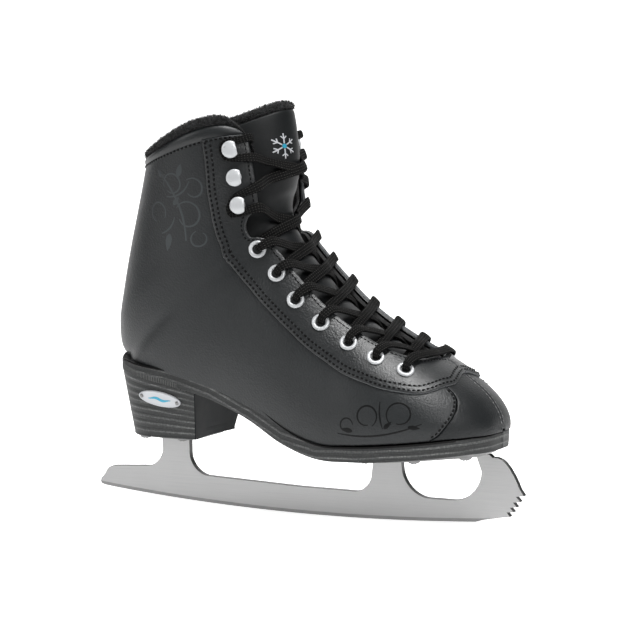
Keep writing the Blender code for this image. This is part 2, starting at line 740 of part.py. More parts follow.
def make_badge():
    """The oval badge on the outer side of the heel, with a rivet at each end."""
    x, z = BADGE_CENTRE
    lean = math.radians(BADGE_LEAN)
    face = Vector(((heel_side(x + 6.0, z) - heel_side(x - 6.0, z)) / 12.0, -1.0,
                   (heel_side(x, z + 6.0) - heel_side(x, z - 6.0)) / 12.0)).normalized()
    across = Vector((math.cos(lean), 0.0, math.sin(lean)))
    across = (across - face * across.dot(face)).normalized()
    up = across.cross(face)
    middle = Vector((x, heel_side(x, z), z))

    def place(a, b, h):
        return middle + across * a + up * b + face * h

    rods = [rod(0.6 + GAP, -3.0, 3.0, place(a, 0.0, 0.0), face, 8) for a in BADGE_RIVETS]
    holes = cutter("badge_holes", rods)
    rings = []
    for h, shrink in ((GAP, 0.0), (0.9, 0.0), (1.3, 0.6)):
        ring = []
        for k in range(28):
            angle = math.tau * k / 28
            a, b = BADGE_HALF_LONG - shrink, BADGE_HALF_TALL - shrink
            ring.append(place(a * math.cos(angle), b * math.sin(angle), h))
        rings.append(ring)
    cut(add_object("heel_badge", loft(rings), "white"), holes)
    cut(bpy.data.objects["heel_block"], holes)
    for name, a in zip(("badge_rivet_rear", "badge_rivet_front"), BADGE_RIVETS):
        profile = [(0.0, -2.6), (0.6, -2.6), (0.6, 1.6), (1.1, 1.6), (0.9, 2.0), (0.0, 2.15)]
        add_object(name, turned(profile, place(a, 0.0, 0.0), face, 8), "white")


# --- eyelets, hooks and lace ---


def make_eyelets_and_hooks():
    inner = lining_heights(6.0, 0.9)[0] - 2.0 * GAP
    flange = FACING_LAYER[1] + 2.5 * GAP
    eyelet = [(EYELET_BORE, inner - 0.5), (3.3, inner - 0.5), (3.3, inner), (EYELET_BARREL, inner),
              (EYELET_BARREL, flange), (EYELET_FLANGE, flange), (3.6, flange + 0.7),
              (EYELET_BORE, flange + 0.4)]
    hook = [(0.0, inner - 0.7), (3.0, inner - 0.6), (3.0, inner), (HOOK_STEM, inner), (HOOK_STEM, flange),
            (2.6, flange), (2.6, flange + 0.4), (HOOK_STEM, flange + 0.5), (HOOK_STEM, flange + 3.2),
            (HOOK_HEAD - 0.2, flange + 3.3), (HOOK_HEAD, flange + 3.8), (3.2, flange + 4.5),
            (0.0, flange + 4.8)]
    for side in (-1, 1):
        for k, (t, u) in enumerate(EYELETS):
            here, normal, _ = frame_at(t, u)
            body = turned(eyelet, flip(here, side), flip(normal, side), 8)
            add_object(mirrored_name(f"eyelet_{k + 1}", side), body, "white")
        for k, (t, u) in enumerate(HOOKS):
            here, normal, up = frame_at(t, u)
            front = normal.cross(up)
            front = front if front.x > 0 else -front
            body = turned(hook, flip(here, side), flip(normal, side), 8,
                          flat=(flip(front, side), 2.9, flange + 1.0))
            add_object(mirrored_name(f"hook_{k + 1}", side), body, "white")


def over_tongue(place, t):
    """A place of the lace near slice t, moved out to where it clears the tongue."""
    for _ in range(10):
        k = min(max(place.y / tongue_point(t, 1.0).y, -1.0), 1.0)
        here, normal, up = tongue_frame(t, k)
        t = min(max(t + (place - here).dot(up) / 12.0, TONGUE_START), 19.9)
    return place + normal * max(LACE_CLEAR - (place - here).dot(normal), 0.0)


def lace_strand(start, end, over_first):
    """A taut strand from one row of holes to the other, as (place, width, facing).

    It leaves one facing's front edge, from below or above, and goes up over the other's. The
    strands that rise from the near side lie on top.
    """
    (t0, s0), (t1, s1) = start, end
    ends = []
    for t, s, inside in ((t0, s0, not over_first), (t1, s1, False)):
        edge = along(FACING_FRONT, t)
        share = min((edge - min(s, 2.0 - s) + 0.012) / abs(s1 - s0), 0.3)
        t_edge = t0 + (t1 - t0) * (share if t == t0 else 1.0 - share)
        edge += LACE_EDGE if inside else 0.4 * LACE_EDGE
        s_edge = edge if s < 1.0 else 2.0 - edge
        ends.append(boot_point(t_edge, s_edge, LACE_UNDER if inside else LACE_OVER + 0.4))
    low, high = ends
    out = boot_normal((t0 + t1) / 2.0, 1.0)
    rise = LACE_CROSSING if s0 < s1 else 0.0
    points = []
    for g in (0.0, 0.2, 0.36, 0.5, 0.64, 0.8, 1.0):
        place = low.lerp(high, g) + out * (LACE_BULGE * 4.0 * g * (1.0 - g))
        if 0.0 < g < 1.0:
            place = over_tongue(place, t0 + (t1 - t0) * g)
        place += out * (rise * math.exp(-(((g - 0.5) / 0.2) ** 2)))
        facing = (out + Vector((0.0, 0.4 * (2.0 * g - 1.0), 0.0))).normalized()
        points.append((place, LACE_WIDTH, facing))
    return points


def on_boot(points):
    """(place, width, facing) from (t, s, height, width)."""
    return [(boot_point(t, s, h), width, boot_normal(t, s)) for t, s, h, width in points]


def hook_turn(t, s, outward):
    """Round the back of a hook's stem, from below to above it."""
    points = []
    for angle in (-70, -35, 0, 35, 70):
        a = math.radians(angle)
        dt, du = 0.41 * math.sin(a), 0.03 * math.cos(a)
        points.append((t + dt, s + outward * du, FACING_LAYER[1] + GAP + 1.9, LACE_PINCHED))
    return on_boot(points)


def half_lace(side):
    """One half of the lace, from the middle of the lowest bar to its tip, as (place, width, facing)."""

    def here(u):
        return u if side < 0 else 2.0 - u

    def there(u):
        return 2.0 - here(u)

    t, u = EYELETS[-1]
    points = on_boot([(4.08, here(0.97), 3.0, LACE_WIDTH), (4.14, here(0.86), 3.6, LACE_WIDTH),
                      (t - 0.06, here(0.70), 3.8, 4.2)])
    home = True
    for k in range(len(EYELETS) - 1, -1, -1):
        t, u = EYELETS[k]
        place, other = (here, there) if home else (there, here)
        points += on_boot([(t, place(u + 0.012), LACE_OVER + 1.0, LACE_PINCHED),
                           (t, place(u), 1.0, LACE_PINCHED), (t, place(u), -4.9, LACE_PINCHED),
                           (t, place(u + 0.035), LACE_UNDER - 0.3, 3.4)])
        if k:
            t1, u1 = EYELETS[k - 1]
            points += lace_strand((t, place(u)), (t1, other(u1)), False)
            home = not home
    t1, u1 = HOOKS[2]
    points += lace_strand((t, place(u)), (t1 - 0.3, other(u1)), False)
    points += hook_turn(t1, other(u1), -1 if other(0.5) < 1 else 1)
    t2, u2 = HOOKS[0]
    points += lace_strand((t1 + 0.3, other(u1)), (t2 - 0.3, place(u2)), True)
    points += hook_turn(t2, place(u2), -1 if place(0.5) < 1 else 1)
    edge = along(FACING_FRONT, COLLAR) + 0.02
    tip = [(18.25, place(0.70), LACE_OVER + 0.2, 3.6), (18.4, place(edge), LACE_OVER - 0.8, 4.0),
           (18.4, place(edge + 0.02), -1.5, 4.0), (18.2, place(edge), LACE_UNDER + 0.6, 4.0)]
    tip += [(t, place(0.71), LACE_UNDER - 0.4, 4.0) for t in (17.8, 17.2, 16.4, 15.6, 14.8)]
    return points + on_boot(tip)


def through(points, step):
    """Points a step apart on a smooth curve through (place, width) pairs."""
    fine = []
    for i in range(len(points) - 1):
        p = [points[min(max(i + k, 0), len(points) - 1)] for k in (-1, 0, 1, 2)]
        count = max(1, round((p[2][0] - p[1][0]).length / step))
        for k in range(count):
            f = k / count
            weights = (-0.5 * f + f**2 - 0.5 * f**3, 1 - 2.5 * f**2 + 1.5 * f**3,
                       0.5 * f + 2 * f**2 - 1.5 * f**3, -0.5 * f**2 + 0.5 * f**3)
            place = sum((q[0] * w for q, w in zip(p, weights)), Vector())
            width = p[1][1] + (p[2][1] - p[1][1]) * f
            facing = (p[1][2] * (1 - f) + p[2][2] * f).normalized()
            fine.append((place, width, facing))
    return fine + [points[-1]]


def boot_normal(t, s):
    _, normal, _ = frame_at(t, 2.0 - s if s > 1.0 else s)
    return Vector((normal.x, -normal.y, normal.z)) if s > 1.0 else normal


def make_lace():
    near, far = half_lace(-1), half_lace(1)
    fine = through(near[::-1] + far, 8.0)
    rings = []
    side = None
    for i, (place, width, facing) in enumerate(fine):
        ahead = fine[min(i + 1, len(fine) - 1)][0] - fine[max(i - 1, 0)][0]
        ahead.normalize()
        flat = ahead.cross(facing)
        flat = flat.normalized() if flat.length > 0.3 or side is None else side
        if side is not None and flat.dot(side) < 0:
            flat.negate()
        side = flat
        thin = flat.cross(ahead).normalized()
        a, b = flat * (width / 2.0), thin * (LACE_THICKNESS / 2.0)
        rings.append([place + a + b, place + a - b, place - a - b, place - a + b])
    add_object("lace", loft(rings), "lace")


def main():
    for obj in list(bpy.data.objects):
        bpy.data.objects.remove(obj)
    make_upper()
    make_collar()
    make_tongue()
    make_bottom()
    make_eyelets_and_hooks()
    make_lace()


main()
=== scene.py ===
"""The looks of a right figure skate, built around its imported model.

+X points to the toe, -Y to the outer side of the foot and +Z up. Sizes are in millimetres until a
mesh is made. The boot is drawn on one master surface, the outside of its quarters: slice t runs
from the sole line to the front of the boot, u from 0 at the sole or back to 1 at the middle of the
front, and h is the height over the surface. The far side counts on: u = 2 - s for s over 1.
"""

import functools
import math
import random

import bmesh
import bpy
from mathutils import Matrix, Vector, noise


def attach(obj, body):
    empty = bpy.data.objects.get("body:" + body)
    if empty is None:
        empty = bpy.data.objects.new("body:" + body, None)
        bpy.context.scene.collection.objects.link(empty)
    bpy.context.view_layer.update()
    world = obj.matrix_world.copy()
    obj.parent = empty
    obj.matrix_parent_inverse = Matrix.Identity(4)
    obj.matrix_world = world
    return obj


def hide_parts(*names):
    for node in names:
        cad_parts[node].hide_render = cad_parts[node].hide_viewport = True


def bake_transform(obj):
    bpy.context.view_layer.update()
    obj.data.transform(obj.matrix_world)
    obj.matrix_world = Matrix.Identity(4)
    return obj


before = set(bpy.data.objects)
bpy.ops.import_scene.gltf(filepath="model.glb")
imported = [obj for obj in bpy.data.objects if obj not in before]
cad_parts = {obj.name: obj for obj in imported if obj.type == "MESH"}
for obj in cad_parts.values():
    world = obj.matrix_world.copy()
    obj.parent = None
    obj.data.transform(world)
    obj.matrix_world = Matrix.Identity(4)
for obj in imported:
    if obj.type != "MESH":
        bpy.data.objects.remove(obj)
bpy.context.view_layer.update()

MM = 0.001
GAP = 0.3
NEAR, FAR = -1, 1
SIDES = ((NEAR, "near"), (FAR, "far"))

# --- the design, as the model has it ---

# Each slice: back x, back z, front x, front z, half width at the sole, largest half width, bow.
SLICES = (
    (105.0, 47.5, 104.8, 48.4, 0.0, 0.8, 0.0),
    (103.0, 47.0, 102.2, 57.0, 13.0, 14.5, 0.0),
    (97.0, 46.5, 95.5, 65.8, 23.0, 24.5, 0.0),
    (87.5, 45.5, 84.5, 74.0, 31.5, 33.0, 0.0),
    (74.0, 44.0, 71.5, 81.5, 38.0, 39.5, 0.0),
    (58.0, 42.3, 57.5, 90.0, 41.5, 42.5, 0.0),
    (42.0, 40.8, 45.5, 98.5, 42.0, 43.0, 0.0),
    (24.0, 40.0, 34.5, 107.5, 40.0, 41.5, 0.0),
    (4.0, 44.5, 25.0, 117.0, 36.0, 39.5, 0.0),
    (-16.0, 54.0, 18.0, 126.0, 32.5, 38.0, 0.0),
    (-38.0, 62.5, 12.5, 134.5, 30.5, 37.0, 0.0),
    (-62.0, 68.5, 9.0, 142.0, 29.5, 36.5, 0.0),
    (-84.0, 73.0, 6.5, 148.5, 23.0, 36.0, 0.0),
    (-98.0, 76.0, 5.0, 154.0, 0.0, 35.5, 0.0),
    (-101.0, 90.0, 4.0, 159.0, 0.0, 35.5, 0.5),
    (-98.5, 108.0, 3.0, 164.0, 0.0, 35.5, 1.0),
    (-94.0, 130.0, 1.5, 170.5, 0.0, 36.0, 2.0),
    (-89.0, 150.0, -1.5, 178.0, 0.0, 37.0, 3.0),
    (-85.0, 166.0, -5.5, 185.5, 0.0, 38.0, 4.0),
    (-82.5, 176.0, -9.5, 191.0, 0.0, 38.5, 4.5),
    (-80.0, 187.0, -15.0, 203.0, 0.0, 39.0, 4.5),
)
HEEL_SLICE = 13
COLLAR = 18.5
BAND_REACH = 0.74
FLEECE_REACH = 0.73

# The facing's back and front edges, as (t, u), and the toe seam, as (u, t).
FACING_LOW = 2.91
FACING_BACK = (
    (2.86, 0.93), (2.9, 0.75), (3.15, 0.64), (3.47, 0.53), (3.8, 0.465), (4.3, 0.425), (5.25, 0.393),
    (6.3, 0.395), (7.3, 0.42), (8.4, 0.44), (9.4, 0.455), (10.5, 0.477), (11.6, 0.512), (12.0, 0.533),
    (12.5, 0.577), (13.0, 0.614), (13.5, 0.615), (14.4, 0.603), (15.6, 0.583), (16.6, 0.571), (18.6, 0.57),
)
FACING_FRONT = (
    (2.8, 0.995), (3.85, 0.995), (3.97, 0.93), (4.22, 0.80), (4.62, 0.735), (5.0, 0.705), (6.0, 0.675),
    (7.2, 0.667), (10.2, 0.669), (11.2, 0.674), (12.0, 0.69), (12.8, 0.71), (13.2, 0.70), (13.9, 0.694),
    (14.35, 0.703), (14.55, 0.723), (14.85, 0.738), (16.2, 0.735), (18.6, 0.75),
)
TOE_SEAM = (
    (0.0, 3.65), (0.065, 3.26), (0.18, 2.92), (0.29, 2.69), (0.41, 2.58), (0.52, 2.62), (0.605, 2.83),
    (0.65, 3.14), (0.75, 3.32), (1.0, 3.35),
)

# The places (t, u) of the eyelets and the hooks, from the top down.
EYELETS = (
    (12.05, 0.638), (10.4, 0.60), (9.1, 0.575), (7.85, 0.575), (6.65, 0.569), (5.55, 0.575), (4.5, 0.60),
)
HOOKS = ((17.7, 0.669), (16.5, 0.669), (15.3, 0.675))

SOLE_LAP = 0.015
MIDDLE_SEAM = -0.06
MIDDLE = 0.999
LUMP_SIZE = 0.75
PILE_LENGTH = 0.9
TRIM_RADII = (3.6, 2.3)
FLEECE_RADII = (3.3, 2.7)
FACING_OUTER = 1.7
QUARTER_THICKNESS = 1.2
LINING_DEPTH = 2.1
LINING_THICKNESS = 2.0
STIFFENER_ROOM = 2.1

# The tongue's edges as (t, height), their places as (t, u), and its middle as (t, height).
TONGUE_LOW = ((3.5, -9.5), (4.7, -10.5), (6.0, -9.6), (7.5, -8.6), (20.0, -8.5))
TONGUE_WING = ((3.5, 0.58), (9.0, 0.56), (12.0, 0.58), (14.0, 0.60), (20.0, 0.62))
TONGUE_MIDDLE = (
    (3.5, -5.2), (4.5, -6.2), (5.0, -6.6), (6.0, -7.6), (7.0, -8.9), (8.0, -10.4), (9.0, -10.8),
    (10.0, -12.5), (11.0, -14.0), (12.0, -15.0), (14.0, -13.0), (15.0, -10.0), (16.0, -7.0), (17.0, -4.0),
    (18.0, -0.5), (19.0, 3.0), (20.0, 6.0),
)
TONGUE_START = 3.5
TONGUE_END = 19.9
SNOWFLAKE_PLACE = (17.7, -0.30)

EYELET_FLANGE = 4.3
EYELET_BORE = 2.4
EYELET_BARREL = 2.9
HOOK_HEAD = 4.2
HOOK_STEM = 1.4

LACE_WIDTH = 5.4
LACE_THICKNESS = 1.5
LACE_PINCHED = 3.4
LACE_UNDER = -6.7
LACE_OVER = 3.8
LACE_BULGE = 2.2
LACE_CROSSING = 1.7
LACE_CLEAR = 1.5
FACING_SKIN = 1.25

# The sole at x: its thickness, and how far its edge stands up over the sole line.
SOLE_THICKNESS = (
    (-104.0, 4.5), (-19.0, 4.0), (6.0, 5.0), (34.0, 6.5), (53.0, 7.4), (96.0, 7.9), (110.0, 8.6),
)
SOLE_EDGE = 0.9
WELT = (
    (-104.0, 0.3), (-80.0, 1.2), (-65.0, 2.6), (-46.0, 4.6), (-28.0, 6.2), (-17.0, 6.6), (-5.0, 5.4),
    (15.0, 2.2), (35.0, 0.5), (60.0, -0.1), (110.0, -0.4),
)
HEEL_BOTTOM = 38.0
HEEL_MIDDLE = -72.0
HEEL_RIBS = (-93.0, -52.0, 42)
HEEL_LIFTS = 8
LIFT_DEPTH = 3.3
HEEL_BREAST_TOP = -46.5
HEEL_BREAST_BOTTOM = -50.0
HEEL_REAR_TOP = -99.3
HEEL_REAR_BOTTOM = -93.5
HEEL_HALF_TOP = 29.8
HEEL_HALF_BOTTOM = 22.0
BADGE_CENTRE = (-66.9, 57.0)
BADGE_HALF_LONG = 11.7
BADGE_HALF_TALL = 3.9
BADGE_LEAN = math.radians(-8.0)
BADGE_RIVETS = (-10.0, 10.0)

BLADE_THICKNESS = 3.6
ROCKER_RADIUS = 1150.0
ROCKER_CENTRE = 12.0
ROCKER_STEPS = 60
PLATE_THICKNESS = 2.0
PLATE_BOTTOM = PLATE_THICKNESS + 2 * GAP
SCREW_RADIUS = 3.0
HEEL_PLATE_SCREWS = ((-84.0, 11.0), (-62.0, 13.0))
SOLE_PLATE_SCREWS = ((40.0, 18.0), (66.0, 19.0), (90.0, 13.0))

# --- the view ---

AZIMUTH = math.radians(25.0)
ELEVATION = math.radians(5.5)
DISTANCE = 1.3
TARGET = Vector((0.0033, 0.0, 0.1006))
LENS = 152.1


# --- small helpers ---


def smooth(low, high, x):
    """0 below low, 1 above high, and a smooth step between them."""
    f = min(max((x - low) / (high - low), 0.0), 1.0)
    return f * f * (3.0 - 2.0 * f)


def along(points, x):
    """The value at x of a line through (x, value) points."""
    if x <= points[0][0]:
        return points[0][1]
    for (x0, y0), (x1, y1) in zip(points, points[1:]):
        if x <= x1:
            return y0 + (y1 - y0) * (x - x0) / (x1 - x0)
    return points[-1][1]


def curve(points, x):
    """The value at x of a smooth curve through (x, value) points that doesn't overshoot them."""
    if x <= points[0][0]:
        return points[0][1]
    if x >= points[-1][0]:
        return points[-1][1]
    i = next(k for k in range(len(points) - 1) if x <= points[k + 1][0])

    def slope(k):
        return (points[k + 1][1] - points[k][1]) / (points[k + 1][0] - points[k][0])

    def tangent(k):
        if k == 0 or k == len(points) - 1:
            return slope(min(k, len(points) - 2))
        a, b = slope(k - 1), slope(k)
        return 0.0 if a * b <= 0 else 2.0 * a * b / (a + b)

    (x0, y0), (x1, y1) = points[i], points[i + 1]
    run = x1 - x0
    f = (x - x0) / run
    return (y0 * (1 + 2 * f) * (1 - f) ** 2 + y1 * f * f * (3 - 2 * f)
            + run * (tangent(i) * f * (1 - f) ** 2 - tangent(i + 1) * f * f * (1 - f)))


def steps(low, high, count):
    return [low + (high - low) * i / count for i in range(count + 1)]


def circle(count):
    """(cosine, sine) pairs round a circle."""
    return [(math.cos(math.tau * k / count), math.sin(math.tau * k / count)) for k in range(count)]


def arc(centre, wide, tall, degrees):
    """Points of an arc of an ellipse, at a row of angles in degrees."""
    x, y = centre
    return [(x + wide * math.cos(a), y + tall * math.sin(a)) for a in map(math.radians, degrees)]


def edged(count, rim):
    """Shares from 0 to 1 with close rows at both ends, for a rounded edge."""
    inner = steps(rim, 1.0 - rim, count)
    return [0.0, 0.35 * rim, *inner, 1.0 - 0.35 * rim, 1.0]


# --- the master surface ---


@functools.lru_cache(maxsize=20000)
def slice_at(t):
    """The seven values of a slice, on a smooth curve through the listed ones."""
    last = len(SLICES) - 1
    t = min(max(t, 0.0), last - 1e-9)
    i, f = int(t), t - int(t)
    b, c = SLICES[i], SLICES[i + 1]
    a = SLICES[i - 1] if i else [2 * p - q for p, q in zip(b, c)]
    d = SLICES[i + 2] if i + 2 <= last else [2 * q - p for p, q in zip(b, c)]
    return [
        0.5 * (2 * q + (r - p) * f + (2 * p - 5 * q + 4 * r - s) * f**2 + (3 * q - p - 3 * r + s) * f**3)
        for p, q, r, s in zip(a, b, c, d)
    ]


def on_surface(t, u):
    """The point of the near side at slice t and place u."""
    back_x, back_z, front_x, front_z, sole_half, half, bow = slice_at(t)
    start = math.asin(min(max(sole_half / half, 0.0), 0.98))
    angle = start + (math.pi - start) * u
    v = (math.cos(start) - math.cos(angle)) / (1.0 + math.cos(start))
    run, rise = front_x - back_x, front_z - back_z
    chord = math.hypot(run, rise)
    arch = bow * math.sin(math.pi * min(max(v, 0.0), 1.0) ** 1.6) / chord
    return Vector((back_x + run * v - rise * arch, -half * math.sin(angle), back_z + rise * v + run * arch))


def partials(t, u):
    """The change of the surface point per unit of t and per unit of u."""
    e = 0.02
    t0, t1 = max(t - e, 0.0), min(t + e, len(SLICES) - 1.001)
    u0, u1 = max(u - e, 0.0), min(u + e, 1.0)
    by_t = (on_surface(t1, u) - on_surface(t0, u)) / (t1 - t0)
    by_u = (on_surface(t, u1) - on_surface(t, u0)) / (u1 - u0)
    return by_t, by_u


def frame_at(t, u):
    """The point, the outward normal and the direction of rising t, on the near side."""
    by_t, by_u = partials(t, u)
    normal = by_u.cross(by_t).normalized()
    if u > 0.999 or (u < 0.001 and t > HEEL_SLICE):
        normal.y = 0.0
        normal.normalize()
    return on_surface(t, u), normal, by_t.normalized()


def boot_point(t, s, h):
    """The point at slice t, place s from 0 to 2 and height h over the surface."""
    here, normal, _ = frame_at(t, 2.0 - s if s > 1.0 else s)
    p = here + normal * h
    return Vector((p.x, -p.y, p.z)) if s > 1.0 else p


def boot_normal(t, s):
    _, normal, _ = frame_at(t, 2.0 - s if s > 1.0 else s)
    return Vector((normal.x, -normal.y, normal.z)) if s > 1.0 else normal


def moved(t, u, step):
    """The (t, u) that lies a 3-D step along the surface from (t, u)."""
    by_t, by_u = partials(t, u)
    a, b, c = by_t.dot(by_t), by_t.dot(by_u), by_u.dot(by_u)
    p, q = by_t.dot(step), by_u.dot(step)
    det = a * c - b * b
    return t + (p * c - q * b) / det, u + (q * a - p * b) / det


def flip(v, side):
    """A vector of the near side, taken over to the given side."""
    return Vector((v.x, -v.y if side == FAR else v.y, v.z))


# --- materials ---


class Shader:
    """A Principled material and short ways to add nodes to it."""

    def __init__(self, name, colour, roughness, metallic=0.0, **sockets):
        self.material = bpy.data.materials.new(name)
        self.material.use_nodes = True
        self.tree = self.material.node_tree
        self.bsdf = self.tree.nodes["Principled BSDF"]
        self.bsdf.inputs["Base Color"].default_value = (*colour, 1.0)
        self.bsdf.inputs["Roughness"].default_value = roughness
        self.bsdf.inputs["Metallic"].default_value = metallic
        for socket, value in sockets.items():
            self.bsdf.inputs[socket.replace("_", " ")].default_value = value
        self.place = self.tree.nodes.new("ShaderNodeTexCoord").outputs["Object"]

    def node(self, kind, **values):
        made = self.tree.nodes.new(kind)
        for key, value in values.items():
            if key in made.inputs:
                made.inputs[key].default_value = value
            else:
                setattr(made, key, value)
        return made

    def link(self, output, socket):
        self.tree.links.new(output, socket)

    def math(self, operation, a, b=0.0):
        made = self.node("ShaderNodeMath", operation=operation)
        for socket, value in zip(made.inputs, (a, b)):
            if isinstance(value, (int, float)):
                socket.default_value = value
            else:
                self.link(value, socket)
        return made.outputs[0]

    def stretched(self, scale, place=None):
        """The place, scaled by three factors."""
        made = self.node("ShaderNodeVectorMath", operation="MULTIPLY")
        self.link(place or self.place, made.inputs[0])
        made.inputs[1].default_value = scale
        return made.outputs[0]

    def noise(self, scale, detail=3.0, place=None):
        made = self.node("ShaderNodeTexNoise", Scale=scale, Detail=detail)
        self.link(place or self.place, made.inputs["Vector"])
        return made.outputs["Fac"]

    def cells(self, scale):
        made = self.node("ShaderNodeTexVoronoi", Scale=scale, feature="SMOOTH_F1")
        self.link(self.place, made.inputs["Vector"])
        return made.outputs["Distance"]

    def between(self, fac, low, high):
        made = self.node("ShaderNodeMapRange")
        made.inputs["To Min"].default_value = low
        made.inputs["To Max"].default_value = high
        self.link(fac, made.inputs["Value"])
        return made.outputs["Result"]

    def roughness(self, fac, low, high):
        self.link(self.between(fac, low, high), self.bsdf.inputs["Roughness"])

    def colours(self, fac, *stops):
        """The base colour from (position, colour) stops."""
        ramp = self.tree.nodes.new("ShaderNodeValToRGB")
        elements = ramp.color_ramp.elements
        while len(elements) < len(stops):
            elements.new(0.5)
        for element, (position, colour) in zip(elements, stops):
            element.position = position
            element.color = (*colour, 1.0)
        self.link(fac, ramp.inputs["Fac"])
        self.link(ramp.outputs["Color"], self.bsdf.inputs["Base Color"])

    def bump(self, *heights):
        """Bumps from (height, depth in millimetres) pairs, one on the other."""
        normal = None
        for height, depth in heights:
            made = self.node("ShaderNodeBump", Strength=1.0, Distance=depth * MM)
            self.link(height, made.inputs["Height"])
            if normal:
                self.link(normal, made.inputs["Normal"])
            normal = made.outputs["Normal"]
        self.link(normal, self.bsdf.inputs["Normal"])


def vinyl(name, grey=0.016, rough=(0.38, 0.46), grain=0.05, shine=0.30):
    """Coated vinyl: a fine pebble grain and a slightly uneven sheen."""
    s = Shader(name, (grey * 0.94, grey * 1.06, grey * 1.14), 0.45, Specular_IOR_Level=shine)
    s.colours(s.noise(28.0, 4.0), (0.3, (grey * 0.80, grey * 0.92, grey * 0.99)),
              (0.7, (grey * 1.08, grey * 1.22, grey * 1.31)))
    s.roughness(s.noise(120.0, 2.0), *rough)
    s.bump((s.cells(1150.0), grain), (s.noise(2600.0, 2.0), grain * 0.45), (s.noise(60.0, 2.0), 0.12))
    return s.material


def mottled(name, colour, rough, grain, low, high, relief, **sockets):
    """Two shades mixed by noise. grain is the noise's scale and detail; relief adds the bump's depth."""
    s = Shader(name, colour, rough, **sockets)
    s.colours(s.noise(*grain), low, high)
    s.bump((s.noise(*relief[:2]), relief[2]))
    return s.material


def raw_edge():
    return mottled("raw_edge", (0.07, 0.075, 0.078), 0.7, (900.0, 3.0), (0.35, (0.045, 0.048, 0.05)),
                   (0.7, (0.11, 0.115, 0.12)), (2200.0, 3.0, 0.1))


def thread(name, grey):
    """Twisted thread: fine slanting plies."""
    return mottled(name, (grey, grey, grey * 1.05), 0.7, (3000.0, 1.0), (0.4, (grey * 0.6,) * 3),
                   (0.65, (grey * 1.5,) * 3), (3500.0, 1.0, 0.08), Specular_IOR_Level=0.15)


def fleece(name, grey=0.010):
    """Short curly pile."""
    return mottled(name, (grey,) * 3, 0.95, (700.0, 4.0), (0.35, (grey * 0.4,) * 3),
                   (0.65, (grey * 1.9, grey * 1.95, grey * 2.0)), (900.0, 4.0, 0.7),
                   Specular_IOR_Level=0.15, Sheen_Weight=0.12, Sheen_Roughness=0.5)


def knit(name, grey):
    """Brushed lining cloth."""
    return mottled(name, (grey,) * 3, 0.92, (500.0, 4.0), (0.35, (grey * 0.7,) * 3), (0.7, (grey * 1.3,) * 3),
                   (1300.0, 3.0, 0.35), Specular_IOR_Level=0.2, Sheen_Weight=0.2)


def board(name, colour):
    return mottled(name, colour, 0.85, (400.0, 4.0), (0.35, tuple(c * 0.8 for c in colour)),
                   (0.7, tuple(c * 1.15 for c in colour)), (900.0, 3.0, 0.1))


def braid():
    """Flat braid: chevrons of yarn on each of its ribs, from the lace's own length and width. Its colour is
    painted light: the crests of the ribs and yarns are painted pale as highlight, the grooves near black as
    painted shade.
    """
    s = Shader("lace_braid", (0.006, 0.006, 0.006), 0.8, Specular_IOR_Level=0.1)
    uv = s.node("ShaderNodeSeparateXYZ")
    s.link(s.node("ShaderNodeTexCoord").outputs["UV"], uv.inputs[0])
    rib = s.math("PINGPONG", s.math("MULTIPLY", uv.outputs["Y"], 4.0), 0.5)
    along_lace = s.math("MULTIPLY", uv.outputs["X"], 4.4)
    yarn = s.math("SINE", s.math("ADD", along_lace, s.math("MULTIPLY", rib, 6.0)))
    fuzz = s.noise(2500.0, 2.0)
    crest_highlight = s.math("MULTIPLY", rib, s.between(yarn, 0.55, 1.3))
    # Painted highlight on the rib and yarn crests, painted shade in the grooves between them.
    s.colours(s.math("ADD", crest_highlight, s.math("MULTIPLY", fuzz, 0.35)),
              (0.30, (0.0015, 0.0015, 0.0015)), (0.58, (0.006, 0.006, 0.0058)), (0.82, (0.060, 0.058, 0.054)))
    s.bump((rib, 0.5), (yarn, 0.10), (fuzz, 0.12))
    return s.material


def stacked(name):
    """Simulated stacked leather: wavy layers that follow the sole line, with pale streaks."""
    s = Shader(name, (0.055, 0.057, 0.057), 0.55, Specular_IOR_Level=0.2)
    depth = s.node("ShaderNodeAttribute", attribute_name="depth").outputs["Fac"]
    wander = s.noise(14.0, 3.0, s.stretched((1.0, 1.0, 2.0)))
    layers = s.math("ADD", s.math("MULTIPLY", depth, 1.9), s.math("MULTIPLY", wander, 9.0))
    wave = s.math("SINE", layers)
    fine = s.math("SINE", s.math("MULTIPLY", layers, 3.7))
    grain = s.noise(90.0, 5.0, s.stretched((0.5, 0.5, 14.0)))
    mix = s.math("ADD", s.math("ADD", s.between(wave, 0.0, 0.36), s.between(fine, 0.0, 0.10)),
                 s.math("MULTIPLY", grain, 0.62))
    mix = s.math("ADD", mix, s.math("MULTIPLY", s.math("SUBTRACT", s.noise(1100.0, 2.0), 0.5), 0.5))
    s.colours(mix, (0.28, (0.020, 0.021, 0.021)), (0.55, (0.037, 0.038, 0.038)),
              (0.74, (0.072, 0.074, 0.073)), (0.95, (0.17, 0.172, 0.17)))
    s.roughness(grain, 0.45, 0.65)
    s.bump((wave, 0.05), (grain, 0.12))
    return s.material


